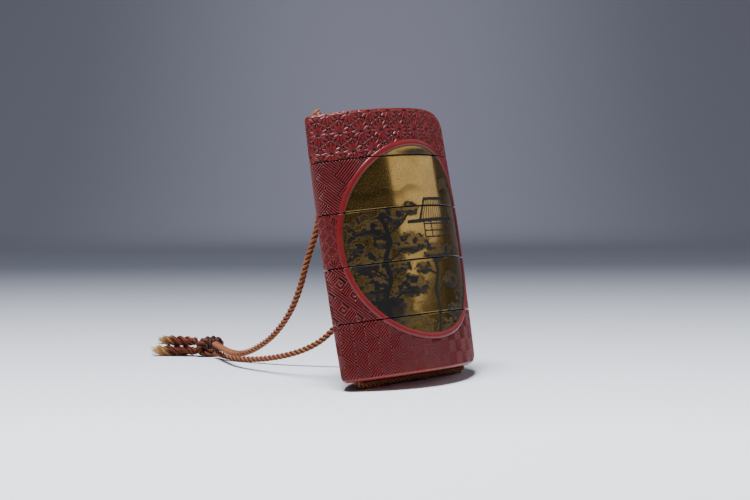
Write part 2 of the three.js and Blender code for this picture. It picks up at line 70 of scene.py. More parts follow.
forward = CAMERA_HEADING * math.cos(CAMERA_DIP) - Vector((0, 0, 1)) * math.sin(CAMERA_DIP)
level = forward.cross(Vector((0, 0, 1))).normalized()
upward = level.cross(forward)
right = level * math.cos(CAMERA_ROLL) - upward * math.sin(CAMERA_ROLL)
upward = right.cross(forward)
camera_data = bpy.data.cameras.new("camera")
camera_data.lens = CAMERA_LENS
camera_data.sensor_width = SENSOR_WIDTH
camera_data.clip_start = NEAREST_SEEN * MM
camera = bpy.data.objects.new("camera", camera_data)
bpy.context.scene.collection.objects.link(camera)
turn = Matrix((right, upward, -forward)).transposed()
camera.matrix_world = Matrix.Translation(CAMERA_PLACE) @ turn.to_4x4()
bpy.context.scene.camera = camera
print("the camera looks along", tuple(round(v, 3) for v in forward))

# %% [markdown]
# ## The standing case's own frame
#
# The lacquer is easiest to describe upright: x across the width, y to the back and z up from the
# base, in millimetres. The flat underside of the CAD model's bottom case says how far the case
# leans back and where its base is, so one turn and one shift carry every upright point to its
# place on the table.

# %% From the upright case to the table
HEIGHT = 84.0
CORD_RADIUS = 1.1
CORD_CLEARANCE = 0.3
CORD_DROP = CORD_RADIUS + CORD_CLEARANCE
SAME_WAY = 1e-4

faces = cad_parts["bottom_case"].data.polygons
lowest = min(faces, key=lambda face: round(face.normal.z, 3) * face.area)
underside = [face for face in faces if face.normal.dot(lowest.normal) > 1 - SAME_WAY]
area = sum(face.area for face in underside)
centre = sum((face.center * face.area for face in underside), Vector()) / area / MM
LEAN = math.atan2(-lowest.normal.y, -lowest.normal.z)
SHIFT_Y, SHIFT_Z = centre.y, centre.z
print("the case leans back by", round(math.degrees(LEAN), 2), "degrees")
print("its base is at", round(SHIFT_Y, 2), round(SHIFT_Z, 2))


def to_table(points):
    """Upright case points, in millimetres, to their places in the frame, in metres."""
    x, y, z = np.asarray(points, float).T
    leaned_y = y * math.cos(LEAN) + z * math.sin(LEAN) + SHIFT_Y
    leaned_z = -y * math.sin(LEAN) + z * math.cos(LEAN) + SHIFT_Z
    return np.stack([x, leaned_y, leaned_z], axis=1) * MM


def to_upright(points):
    """The way back: places in the frame, in metres, to upright case points in millimetres."""
    x, y, z = np.asarray(points, float).T / MM
    y, z = y - SHIFT_Y, z - SHIFT_Z
    return np.stack([x, y * math.cos(LEAN) - z * math.sin(LEAN),
                     y * math.sin(LEAN) + z * math.cos(LEAN)], axis=1)


# %% [markdown]
# ## The wall
#
# Seen from above, the case is two shallow arcs that meet in small rounded ends. Its walls swell
# by less than a millimetre at half height, and its corners are rubbed round, the lid's right one
# most. One function gives the wall point for a distance along a face and a height, lifted off
# the wall by any relief. Its partner finds the distance again from a point.

# %% The wall as a function
HALF_WIDTH = 30.6
HALF_DEPTH = 14.0
END_RADIUS = 2.6
SWELL = 0.65
DOME = 0.4
FACE_EDGE = 0.9
LID_CORNERS = (1.8, 5.4)
BASE_CORNERS = (2.2, 3.6)
FRONT, BACK = -1, 1

END_X = HALF_WIDTH - END_RADIUS
FACE_RADIUS = (HALF_DEPTH**2 + END_X**2 - END_RADIUS**2) / (2 * (HALF_DEPTH - END_RADIUS))
FACE_SETBACK = FACE_RADIUS - HALF_DEPTH
FACE_ANGLE = math.atan2(END_X, FACE_SETBACK)
FACE_LENGTH = FACE_RADIUS * FACE_ANGLE
WALL_LENGTH = FACE_LENGTH + END_RADIUS * (math.pi / 2 - FACE_ANGLE)


def swell_at(z):
    height = np.clip(z / HEIGHT, 0, 1)
    return SWELL * (1 - (2 * height - 1) ** 2)


def rounding(radius, distance):
    """How far a rounding has drawn in, at a distance inside the edge where it ends."""
    rest = np.maximum(radius - np.maximum(distance, 0), 0)
    return radius - np.sqrt(radius**2 - rest**2)


def drawn_in(right_side, z):
    """The share of the width that the rounded corners leave at a height."""
    below_top = HEIGHT - z
    lid = np.where(right_side, rounding(LID_CORNERS[1], below_top), rounding(LID_CORNERS[0], below_top))
    base = np.where(right_side, rounding(BASE_CORNERS[1], z), rounding(BASE_CORNERS[0], z))
    return 1 - (lid + base) / HALF_WIDTH


def wall(face, along, z, lift=0.0):
    """Wall points for arrays of face, distance along it and height, raised by lift."""
    distance = np.abs(along)
    on_face = distance <= FACE_LENGTH
    end_angle = FACE_ANGLE + (distance - FACE_LENGTH) / END_RADIUS
    angle = np.where(on_face, distance / FACE_RADIUS, end_angle)
    radius = np.where(on_face, FACE_RADIUS, END_RADIUS) + swell_at(z) + lift
    radius = radius - rounding(FACE_EDGE, np.minimum(z, HEIGHT - z))
    x = radius * np.sin(angle) + np.where(on_face, 0, END_X)
    y = radius * np.cos(angle) - np.where(on_face, FACE_SETBACK, 0)
    x = x * drawn_in(along > 0, z) * np.where(along < 0, -1, 1)
    return np.stack([x, y * face, z + 0 * x], axis=1)


def along_and_lift(points):
    """(face, along, z, lift) of upright points: wall() the other way round."""
    x, y, z = points.T
    face = np.where(y > 0, BACK, FRONT)
    across = np.abs(x) / drawn_in(x > 0, z)
    angle = np.arctan2(across, np.abs(y) + FACE_SETBACK)
    end_angle = np.arctan2(across - END_X, np.abs(y))
    on_face = angle <= FACE_ANGLE
    past_face = (end_angle - FACE_ANGLE) * END_RADIUS
    distance = np.where(on_face, angle * FACE_RADIUS, FACE_LENGTH + past_face)
    face_radius = np.hypot(across, np.abs(y) + FACE_SETBACK)
    radius = np.where(on_face, face_radius, np.hypot(across - END_X, y))
    expected = np.where(on_face, FACE_RADIUS, END_RADIUS) + swell_at(z)
    expected = expected - rounding(FACE_EDGE, np.minimum(z, HEIGHT - z))
    return face, np.where(x < 0, -distance, distance), z, radius - expected


print("a face is", round(2 * FACE_LENGTH, 1), "mm along the wall")

# %% [markdown]
# ## A grid that is wrapped round a form
#
# The walls and the cords are both sheets rolled into tubes. Blender's grid operator makes the
# sheet, a function moves its points, the two long edges are merged, and the ends are filled.

# %% Wrapping a grid into a closed tube
WELD = 1e-7


def link(name, bm, smooth=True):
    mesh = bpy.data.meshes.new(name)
    bm.to_mesh(mesh)
    bm.free()
    mesh.polygons.foreach_set("use_smooth", [smooth] * len(mesh.polygons))
    piece = bpy.data.objects.new(name, mesh)
    bpy.context.scene.collection.objects.link(piece)
    return piece


def coordinates(mesh):
    flat = np.zeros(len(mesh.vertices) * 3)
    mesh.vertices.foreach_get("co", flat)
    return flat.reshape(-1, 3)


def rolled(name, around, rows, place):
    """A tube of around cells by rows cells. place(u, v) takes whole-number columns and rows."""
    bm = bmesh.new()
    bmesh.ops.create_grid(bm, x_segments=around, y_segments=rows, size=1.0)
    piece = link(name, bm)
    mesh = piece.data
    flat = coordinates(mesh)
    u = np.rint((flat[:, 0] + 1) / 2 * around).astype(int)
    v = np.rint((flat[:, 1] + 1) / 2 * rows).astype(int)
    mesh.vertices.foreach_set("co", place(u, v).ravel())
    bm = bmesh.new()
    bm.from_mesh(mesh)
    rim = [vertex for vertex in bm.verts if vertex.is_boundary]
    bmesh.ops.remove_doubles(bm, verts=rim, dist=WELD)
    bmesh.ops.holes_fill(bm, edges=[edge for edge in bm.edges if edge.is_boundary], sides=0)
    bmesh.ops.recalc_face_normals(bm, faces=bm.faces)
    bm.to_mesh(mesh)
    bm.free()
    mesh.polygons.foreach_set("use_smooth", [True] * len(mesh.polygons))
    return piece


# %% [markdown]
# ## Smooth random fields
#
# Hand work is never even. Tables of random numbers with a fixed seed, read smoothly between
# their entries, give the same soft unevenness on every run, for wear and for the depth of a
# stroke of the brush.

# %% Random fields with a fixed seed
TABLE = 256


def field(seed, a, b):
    """A smooth random value from 0 to 1 at each (a, b), changing over about one unit."""
    table = np.random.default_rng(seed).random((TABLE, TABLE))
    a0, b0 = np.floor(a).astype(int), np.floor(b).astype(int)
    s, t = a - a0, b - b0
    s, t = s * s * (3 - 2 * s), t * t * (3 - 2 * t)
    i, j = a0 % TABLE, b0 % TABLE
    next_i, next_j = (a0 + 1) % TABLE, (b0 + 1) % TABLE
    near = table[i, j] * (1 - s) + table[next_i, j] * s
    far = table[i, next_j] * (1 - s) + table[next_i, next_j] * s
    return near * (1 - t) + far * t


def cloudy(seed, a, b, octaves=4):
    """Fields of halving size laid over one another, from 0 to 1."""
    total, weight = 0.0, 0.0
    for octave in range(octaves):
        total = total + field(seed + octave, a * 2**octave, b * 2**octave) / 2**octave
        weight += 1 / 2**octave
    return total / weight


def smooth_step(low, high, value):
    t = np.clip((value - low) / (high - low), 0, 1)
    return t * t * (3 - 2 * t)


# %% [markdown]
# ## The cord
#
# The cord is three soft strands of silk twisted together. A tube whose cross-section has three
# round lobes, turned steadily along its length, gives the lay of such a cord without three
# separate tubes. The section is carried along the route with the least twist of its own.

# %% Carrying a lobed section along a route
LAY = 5.3  # one full turn of the strands
ROPE_AROUND = 24
ROPE_STEP = 0.26
LOBES = 3
SPAN_STEPS = 40


def smooth_route(points, step=ROPE_STEP):
    """A centripetal Catmull-Rom curve through points, cut into even steps."""
    p = np.asarray(points, float)
    p = np.vstack([2 * p[:1] - p[1:2], p, 2 * p[-1:] - p[-2:-1]])
    fine = []
    for a, b, c, d in zip(p[:-3], p[1:-2], p[2:-1], p[3:]):
        t1 = np.linalg.norm(b - a) ** 0.5
        t2 = t1 + np.linalg.norm(c - b) ** 0.5
        t3 = t2 + np.linalg.norm(d - c) ** 0.5
        t = np.linspace(t1, t2, SPAN_STEPS, endpoint=False)[:, None]
        ab = a + (b - a) * t / t1
        bc = b + (c - b) * (t - t1) / (t2 - t1)
        cd = c + (d - c) * (t - t2) / (t3 - t2)
        low = ab + (bc - ab) * t / t2
        high = bc + (cd - bc) * (t - t1) / (t3 - t1)
        fine.append(low + (high - low) * (t - t1) / (t2 - t1))
    fine.append(p[-2:-1])
    return evenly(np.vstack(fine), step)


def evenly(points, step):
    """The same line with points at even steps."""
    gaps = np.linalg.norm(np.diff(points, axis=0), axis=1)
    lengths = np.concatenate([[0], np.cumsum(gaps)])
    count = max(int(round(lengths[-1] / step)), 2)
    marks = np.linspace(0, lengths[-1], count + 1)
    return np.stack([np.interp(marks, lengths, points[:, k]) for k in range(3)], axis=1)


ANY_WAY = (0.3, 0.2, 0.9)


def frames_along(route):
    """For each point of a route: its tangent and two directions across it, without twist."""
    tangent = np.gradient(route, axis=0)
    tangent /= np.linalg.norm(tangent, axis=1, keepdims=True)
    across = np.zeros_like(route)
    start = np.cross(tangent[0], ANY_WAY)
    across[0] = start / np.linalg.norm(start)
    for i in range(1, len(route)):
        carried = across[i - 1] - tangent[i] * np.dot(across[i - 1], tangent[i])
        across[i] = carried / np.linalg.norm(carried)
    return tangent, across, np.cross(tangent, across)


def route_length(route):
    return float(np.linalg.norm(np.diff(route, axis=0), axis=1).sum())


def lobe_radius(angle, radius):
    """The outline of round strands laid side by side within a radius."""
    strand = radius / 2
    offset = radius - strand
    sector = 2 * math.pi / LOBES
    bend = (angle + sector / 2) % sector - sector / 2
    return offset * np.cos(bend) + np.sqrt(np.maximum(strand**2 - (offset * np.sin(bend)) ** 2, 0))


def rope(name, route, radius, lay=LAY, around=ROPE_AROUND, taper=None, start_turn=0.0):
    """A twisted cord along a route in millimetres. taper gives each point's share of the radius.

    It keeps three values for its silk: the place across a strand, the way along and the depth.
    """
    tangent, across, other = frames_along(route)
    rows = len(route) - 1
    travelled = np.arange(len(route)) * route_length(route) / rows
    scale = np.ones(len(route)) if taper is None else taper

    def place(u, v):
        angle = 2 * math.pi * u / around
        reach = lobe_radius(angle, radius) * scale[v]
        spun = angle + start_turn + 2 * math.pi * travelled[v] / lay
        spread = across[v] * np.cos(spun)[:, None] + other[v] * np.sin(spun)[:, None]
        return (route[v] + spread * reach[:, None]) * MM

    piece = rolled(name, around, rows, place)
    along = piece.data.attributes.new("strand", "FLOAT_VECTOR", "POINT")
    local = coordinates(piece.data) / MM
    nearest = nearest_row(local, route)
    offset = local - route[nearest]
    turned = np.arctan2((offset * other[nearest]).sum(1), (offset * across[nearest]).sum(1))
    turned = turned - start_turn - 2 * math.pi * travelled[nearest] / lay
    reach = np.linalg.norm(offset, axis=1)
    depth = reach / (radius * scale[nearest])
    values = np.stack([turned / (2 * math.pi) * LOBES, travelled[nearest], depth], axis=1)
    values[:, 0] = (values[:, 0] + 0.5) % 1.0 - 0.5
    along.data.foreach_set("vector", values.ravel())
    return piece


BLOCK = 2000


def nearest_row(points, route):
    """The index of the route point nearest to each point, found in blocks to save memory."""
    best = np.zeros(len(points), int)
    for start in range(0, len(points), BLOCK):
        block = points[start:start + BLOCK]
        gaps = ((block[:, None, :] - route[None, :, :]) ** 2).sum(2)
        best[start:start + BLOCK] = gaps.argmin(1)
    return best


# %% [markdown]
# The threaded cord crosses the base, bends up a channel at each end of the case, bends back over
# the lid and stops where it lets go of the lid's back edge. It is worked out upright, for one
# half, and mirrored.

# %% The cord through the case
CHANNEL_INSET = 5.2
CHANNEL_X = HALF_WIDTH - CHANNEL_INSET
MOUTH_ROUND = 1.2
CORD_BEND = MOUTH_ROUND + CORD_DROP
CORD_FALL = 16.5
BEND_STEPS = 10


def bend(centre, start, end, angle):
    """Points of an arc of cord that sets out in one direction from its centre, towards another."""
    turns = np.linspace(0, angle, BEND_STEPS + 1)[:, None]
    return centre + CORD_BEND * (np.cos(turns) * start + np.sin(turns) * end)


def half_thread(side):
    """The cord from the middle of the base to where it lets go of the lid, on one side."""
    up, outward = np.array([0.0, 0, 1]), np.array([side, 0.0, 0])
    corner = np.array([side * (CHANNEL_X - CORD_BEND), 0, CORD_BEND - CORD_DROP])
    lower = bend(corner, -up, outward, math.pi / 2)
    hole = np.array([side * CHANNEL_X, 0, HEIGHT + CORD_DROP - CORD_BEND])
    fall_along = FACE_RADIUS * math.asin(CORD_FALL / FACE_RADIUS)
    edge_height = np.array([HEIGHT - FACE_EDGE])
    fall = wall(np.array([BACK]), np.array([side * fall_along]), edge_height, CORD_DROP)[0]
    fall[2] = hole[2]
    way = (fall - hole) / np.linalg.norm(fall - hole)
    over = bend(hole + way * CORD_BEND, -way, up, math.pi / 2)
    last_turn = math.pi / 2 - LEAN
    edge = bend(fall - way * CORD_BEND * math.sin(last_turn), up, way, last_turn)
    return np.vstack([[[0, 0, -CORD_DROP]], lower, over, edge])


half = half_thread(1)
thread = np.vstack([half[::-1] * [-1, 1, 1], half[1:]])
thread_route = evenly(to_table(thread) / MM, ROPE_STEP)
cord_through_case = rope("threaded_cord", thread_route, CORD_RADIUS)
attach(cord_through_case, "root")
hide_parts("cord_through_case")
print("the threaded cord is", round(route_length(thread_route)), "mm long")

# %% [markdown]
# Behind the case the two free ends hang, curl down to the table and meet at the knot. Their
# routes repeat the points of the CAD model. Each starts a hair's breadth past the threaded cord.

# %% The two free lengths
CORD_JOIN = 0.3
LEFT_FALL = [
    (-17, 18.3, 75), (-16.8, 17.3, 67), (-16.7, 16.7, 59), (-17.2, 16.5, 52),
    (-18.2, 17.3, 46.3), (-18.9, 19.1, 41), (-19.1, 21, 35.8), (-19.1, 22.8, 31),
    (-19, 25.6, 25.5), (-18.9, 28.8, 20.8), (-18.6, 33.3, 16.1), (-18.2, 38.4, 12.1),
    (-17.6, 44.2, 8.9), (-17, 50.2, 6.4), (-16, 56.3, 5), (-13.8, 63, 4.6),
    (-10, 71, 4.6), (-7, 77, 4.8), (-4.9, 81.7, 5.1),
]
RIGHT_FALL = [
    (17, 18.5, 74), (16.9, 17.8, 65), (16.7, 17.6, 56), (16, 18, 47.5),
    (14.6, 19.4, 39.5), (12.5, 21.8, 32), (10.3, 24.6, 25.5), (8.3, 27.7, 20),
    (6.6, 30.8, 15.6), (5.2, 33.6, 12.2), (3.9, 36.7, 9.3), (2.4, 40.2, 7),
    (0.8, 44, 5.2), (-1, 48.5, 3.7), (-2.5, 53.7, 2.5), (-3.8, 59.2, 1.6),
    (-5.1, 64.6, 1.2), (-6, 70.2, 1.2), (-6, 75.8, 1.6), (-4.9, 81.5, 2.1),
]
UPPER_TAIL = [(-6.4, 91.9, 5.7), (-8.5, 95.7, 5.7), (-10.8, 99.8, 5.8), (-13.3, 104.2, 6)]
LOWER_TAIL = [(-6.6, 91.6, 1.85), (-9.5, 95.8, 1.85), (-12.6, 100, 1.85), (-16, 105, 1.85)]


def falling_route(side, points):
    """A route that goes on from the threaded cord's end, straight at first, through the points."""
    ends = to_table(half_thread(1)[-2:] * [side, 1, 1]) / MM
    way = (ends[1] - ends[0]) / np.linalg.norm(ends[1] - ends[0])
    start = ends[1] + way * CORD_JOIN
    lead = start + way * 2 * CORD_RADIUS
    return smooth_route(np.vstack([start, lead, points]))


strands = {}
for name, side, points in (("strand_left", -1, LEFT_FALL), ("strand_right", 1, RIGHT_FALL)):
    route = falling_route(side, points)
    strands[name] = (rope("free_" + name, route, CORD_RADIUS, start_turn=side), route)
    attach(strands[name][0], "root")
    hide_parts(name)
    print(name, "is", round(route_length(route)), "mm long")

# %% [markdown]
# ## The knot and the frayed ends
#
# The knot is the cord itself: slack bights at one side, and wraps drawn tight over them at the
# other, all pressed into the knot's egg shape. A dark filling keeps daylight from showing through.
# The bights take the browner of the knot's two silks.

# %% The knot
KNOT_SIZE = np.array([10.6, 7.8, 7.8])
KNOT_PLACE = np.array([-2.5, 86.9, 3.9])
KNOT_TURN = -math.pi / 4
KNOT_CORD = 1.2
KNOT_POINTS = 240
KNOT_STEP = 0.3
BIGHT_CENTRE, BIGHT_REACH = (-0.4, -0.55, -0.2), (0.6, 0.2, 0.72)
UNDER_CENTRE, UNDER_REACH = (-0.35, 0.3, -0.2), (0.6, 0.3, 0.75)
BIGHT_CORD = KNOT_CORD * 1.2
UNDER_CORD = KNOT_CORD * 1.1
WRAPS = (-0.3, 0.12, 0.52, 0.86)
WRAP_CORD = KNOT_CORD * 0.74
WRAP_AXIS, WRAP_ASIDE = np.array([0.9, -0.1, 0.42]), np.array([-0.42, 0, 0.9])
WRAP_TIGHTNESS = 0.98
WRAP_SWAY = 0.09
HEART_SHARE = 0.9


def knot_place(points):
    """Points of a unit ball to the knot's egg shape, kept clear of its outside by half the cord."""
    reach = KNOT_SIZE / 2 - KNOT_CORD
    x, y, z = (points * reach).T
    cos, sin = math.cos(KNOT_TURN), math.sin(KNOT_TURN)
    return np.stack([x * cos - y * sin, x * sin + y * cos, z], axis=1) + KNOT_PLACE


def knot_routes():
    """Routes round a unit ball, each with the radius of its cord: two bights, then the wraps."""
    t = np.linspace(0, 2 * math.pi, KNOT_POINTS)
    cos, sin = np.cos(t), np.sin(t)
    bight = BIGHT_CENTRE + BIGHT_REACH * np.stack([cos, np.sin(2 * t), sin], axis=1)
    under = UNDER_CENTRE + UNDER_REACH * np.stack([cos, cos, sin], axis=1)
    routes = [(bight, BIGHT_CORD), (under, UNDER_CORD)]
    ring = np.outer(cos, WRAP_ASIDE) + np.outer(sin, np.cross(WRAP_AXIS, WRAP_ASIDE))
    for reach in WRAPS:
        radius = math.sqrt(1 - reach**2) * WRAP_TIGHTNESS
        sway = np.outer(WRAP_SWAY * np.sin(t + 3 * reach), WRAP_AXIS)
        routes.append((WRAP_AXIS * reach + ring * radius + sway, WRAP_CORD))
    return routes


knot_parts = []
for number, (shape, thickness) in enumerate(knot_routes()):
    route = evenly(knot_place(shape), KNOT_STEP)
    knot_parts.append(rope("knot_turn_" + str(number), route, thickness, start_turn=number))
bight_faces = len(knot_parts[0].data.polygons) + len(knot_parts[1].data.polygons)
bm = bmesh.new()
bmesh.ops.create_icosphere(bm, subdivisions=4, radius=1.0)
heart = link("knot_heart", bm)
heart_points = knot_place(coordinates(heart.data) * HEART_SHARE) * MM
heart.data.vertices.foreach_set("co", heart_points.ravel())
knot_parts.append(heart)


def joined(name, parts):
    """Several objects' meshes as one piece, with their attributes."""
    with bpy.context.temp_override(active_object=parts[0], selected_editable_objects=parts):
        bpy.ops.object.join()
    parts[0].name = name
    parts[0].data.name = name
    return parts[0]


knot = joined("tied_knot", knot_parts)
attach(knot, "root")
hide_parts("knot")
for face in knot.data.polygons[:bight_faces]:
    face.material_index = 1
print("the knot has", len(knot.data.polygons), "faces")

# %% [markdown]
# Beyond the knot the cord comes apart. Each end starts as the twisted cord, whose three strands
# then loosen into curls of fine threads that part a little more towards their tips.

# %% The frayed ends
TAIL_RADIUS = 1.7
TAIL_LEAD = 1.5
PLIES = 3
PLY_REACH = 0.9
PLY_RADIUS = 0.92
PLY_TURNS = 1.7
THREADS = 96
THREAD_RADIUS = 0.16
THREAD_AROUND = 5
THREAD_LAY = 40.0
THREAD_STARTS, THREAD_ENDS = (0.05, 0.25), (0.82, 1.0)
THREAD_SPINS, THREAD_WAVES = (4, 7), (14, 26)
LOOSENING = 0.2
WOBBLE = 0.14
TAIL_STEP = 0.5
TWISTED_SHARE = 0.36
TWISTED_SLACK = 0.86
UPPER_SHIFT, LOWER_SHIFT = -0.3, 0.2
GOLDEN_ANGLE = math.pi * (3 - math.sqrt(5))


def frayed_end(name, node, points, together, seed):
    """An end of cord that opens into threads. together shifts it towards the other end."""
    random = np.random.default_rng(seed)
    points = np.array(points, float) + [0, 0, together]
    lead = points[0] - points[1]
    points = np.vstack([points[0] + lead / np.linalg.norm(lead) * TAIL_LEAD, points])
    route = smooth_route(points, TAIL_STEP)
    tangent, across, other = frames_along(route)
    travel = np.linspace(0, 1, len(route))
    twisted = int(len(route) * TWISTED_SHARE)
    fade = np.clip(1.1 - 1.4 * (travel / travel[twisted]) ** 3, 0.2, 1) * TWISTED_SLACK
    parts = [rope(name, route[:twisted], TAIL_RADIUS, taper=fade[:twisted])]
    for number in range(THREADS):
        ply = 2 * math.pi * (number % PLIES) / PLIES
        angle = number * GOLDEN_ANGLE
        reach = PLY_RADIUS * math.sqrt((number + 0.5) / THREADS)
        begin = int(len(route) * random.uniform(*THREAD_STARTS))
        end = int(len(route) * random.uniform(*THREAD_ENDS))
        share = travel[begin:end]
        loose = 1 + LOOSENING * random.uniform(-1, 1) * share
        spin = angle + share * random.uniform(*THREAD_SPINS)
        turn = ply + share * PLY_TURNS * 2 * math.pi
        wobble = WOBBLE * share * np.sin(share * random.uniform(*THREAD_WAVES) + number)
        u = PLY_REACH * np.cos(turn) + reach * loose * np.cos(spin) + wobble
        v = PLY_REACH * np.sin(turn) + reach * loose * np.sin(spin)
        line = route[begin:end] + across[begin:end] * u[:, None] + other[begin:end] * v[:, None]
        line[:, 2] = np.maximum(line[:, 2], THREAD_RADIUS * 2)
        thread_end = np.clip((1 - np.linspace(0, 1, len(line))) * 6, 0.35, 1)
        thread = rope(name + str(number), line, THREAD_RADIUS, THREAD_LAY, THREAD_AROUND, thread_end)
        parts.append(thread)
    tail = joined(name, parts)
    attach(tail, "root")
    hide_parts(node)
    return tail


upper_fray = frayed_end("frayed_upper_end", "tail_upper", UPPER_TAIL, UPPER_SHIFT, 11)
lower_fray = frayed_end("frayed_lower_end", "tail_lower", LOWER_TAIL, LOWER_SHIFT, 12)

for name, companions in (("strand_left", [knot, upper_fray, lower_fray]), ("strand_right", [])):
    piece, route = strands[name]
print("each frayed end has", THREADS, "threads")

# %% [markdown]
# ## The panel's oval and its bead
#
# On both faces an oval gold ground lies a little below the wall, inside a smooth rounded bead
# that stands a little above it. The distance from a point of the wall to the oval's edge tells
# the panel, the bead and the carved ground apart.

# %% The oval
PANEL_HALF_WIDTH = 29.3
PANEL_HALF_HEIGHT = 30.0
PANEL_CENTRE = 41.8
PANEL_DEPTH = 0.45
BEAD_WIDTH = 2.0
BEAD_RISE = 0.25
BEAD_FOOT = 0.3
LEAST_SHARE = 1e-3


def outside_oval(along, z):
    """Distance from the oval's edge, in millimetres: below nought on the gold panel."""
    a, b = along / PANEL_HALF_WIDTH, (z - PANEL_CENTRE) / PANEL_HALF_HEIGHT
    k = np.maximum(np.hypot(a, b), LEAST_SHARE)
    slope = np.hypot(a / PANEL_HALF_WIDTH, b / PANEL_HALF_HEIGHT) / k
    return (k - 1) / slope


def bead_lift(distance):
    """The bead's half-round section, from its foot below the wall to its crown above it."""
    across = np.clip(1 - (2 * distance / BEAD_WIDTH - 1) ** 2, 0, 1)
    return -BEAD_FOOT + (BEAD_FOOT + BEAD_RISE) * np.sqrt(across)


# %% [markdown]
# ## Five carved grounds
#
# Each ground is a height from 0, the bottom of a cut, to 1, the skin of the lacquer, for any
# point of the wall. The lid has twelve-rayed stars of hemp leaves, the next case a plait of
# slanting strips, then fans in lozenges, then key scrolls between slanting lines, and the lowest
# has nested lozenges. Cut lines are nearly as fine as the real ones, so the walls need a fine
# mesh. Two numbers place each ground along the wall and up it.

# %% Stars on the lid
STAR_PITCH = 7.0
STAR_PLACE = (4.2, -77.0)
STAR_RAYS = 12
PETAL_LENGTH = 3.4
PETAL_SPREAD = 0.268
BORDER_HEIGHT = 0.85
FLOOR_HEIGHT = 0.6


def nearest_centre(a, z, pitch, row):
    """Offsets from the nearest point of a lattice whose every other row is set back by half."""
    best = None
    for step in (-1, 0, 1):
        j = np.rint(z / row) + step
        shift = np.where(j % 2 == 0, 0, 0.5)
        da = a - (np.rint(a / pitch - shift) + shift) * pitch
        dz = z - j * row
        far = np.hypot(da, dz)
        if best is None:
            best = [da, dz, far]
        else:
            nearer = far < best[2]
            best = [np.where(nearer, new, old) for new, old in zip((da, dz, far), best)]
    return best


def stars(a, z):
    a, z = a + STAR_PLACE[0], z + STAR_PLACE[1]
    da, dz, reach = nearest_centre(a, z, STAR_PITCH, STAR_PITCH * math.sqrt(3) / 2)
    sector = 2 * math.pi / STAR_RAYS
    angle = np.arctan2(dz, da)
    turned = np.abs((angle + sector / 2) % sector - sector / 2)
    aside, outward = reach * np.sin(turned), reach * np.cos(turned)
    share = np.clip(outward / PETAL_LENGTH, 0, 1)
    half = np.maximum(np.minimum(PETAL_SPREAD * outward - 0.04, 0.16 + 0.95 * (1 - share)), 0.12)
    petal = np.clip(1.15 - (aside / half) ** 2, 0, 1) ** 0.6 * smooth_step(1.0, 0.94, share)
    petal = petal * smooth_step(0.2, 0.75, outward)
    hexagon = STAR_PITCH / 2 - np.abs(reach * np.cos((angle + sector) % (2 * sector) - sector))
    border = BORDER_HEIGHT * smooth_step(0.26, 0.08, np.abs(hexagon))
    floor = FLOOR_HEIGHT * smooth_step(0.08, 0.36, aside - half) * smooth_step(0.5, 0.62, share)
    return np.clip(np.maximum(np.maximum(petal, border), floor), 0, 1)


# %% Plaited strips on the upper case
STRIP_WIDTH = 4.3
STRIP_RIDGES = 6
STRIP_PLACE = 1.5


def slanted(a, z):
    """The same place on axes that are turned by 45 degrees."""
    return (a + z) / math.sqrt(2), (z - a) / math.sqrt(2)


def ridges(value, pitch):
    """Rounded ridges with cuts between them."""
    return np.clip(1.6 * np.abs(np.cos(math.pi * value / pitch)) ** 1.3 - 0.36, 0, 1)


def plait(a, z):
    p, q = slanted(a + STRIP_PLACE, z)
    i, j = np.floor(p / STRIP_WIDTH), np.floor(q / STRIP_WIDTH)
    place = (i - j) % 4
    lying = place < 2
    across = np.where(lying, q - j * STRIP_WIDTH, p - i * STRIP_WIDTH)
    lengthwise = np.where(lying, p - i * STRIP_WIDTH, q - j * STRIP_WIDTH)
    lengthwise = lengthwise + np.where((place == 1) | (place == 2), STRIP_WIDTH, 0)
    to_end = np.minimum(lengthwise, 2 * STRIP_WIDTH - lengthwise)
    lines = ridges(across + STRIP_WIDTH / STRIP_RIDGES / 2, STRIP_WIDTH / STRIP_RIDGES)
    return lines * smooth_step(0.02, 0.22, to_end)


# %% Fans in lozenges on the second case
FAN_PITCH = 3.7
FAN_PLACE = (33.0, -42.45)
FAN_RAYS = 7
FAN_SPREAD = 1.15
FAN_HEIGHT = 0.85
RAIL_GAP = 0.2


def fans(a, z):
    a, z = a + FAN_PLACE[0], z + FAN_PLACE[1]
    u, v = (a + z) / FAN_PITCH, (z - a) / FAN_PITCH
    to_line = np.minimum(np.abs(u - np.rint(u)), np.abs(v - np.rint(v))) * FAN_PITCH / math.sqrt(2)
    rails = smooth_step(0.17, 0.07, np.abs(to_line - RAIL_GAP))
    s, t = u - np.floor(u), v - np.floor(v)
    da, dz = (s - t) * FAN_PITCH / 2, (s + t) * FAN_PITCH / 2
    reach = np.hypot(da, dz)
    angle = np.arctan2(da, dz) / (math.pi / 2)
    rays = np.abs(np.cos(angle * FAN_RAYS * math.pi / FAN_SPREAD))
    fan = smooth_step(0.4, 0.8, rays) * smooth_step(0.7, 1.0, reach) * smooth_step(3.1, 2.8, reach)
    return np.maximum(rails, FAN_HEIGHT * fan)


# %% Key scrolls on the third case
SCROLL_PITCH = 5.5
SCROLL_SIZE = 3.15
SCROLL_PLACE = (0.8, 2.9)
SCROLL = ("1111111", "1000001", "1011101", "1010101", "1010001", "1011111", "1000000")
BAND_LINES = 0.7
BAND_START = 0.28
SOFTENING = (-0.25, 0, 0.25)


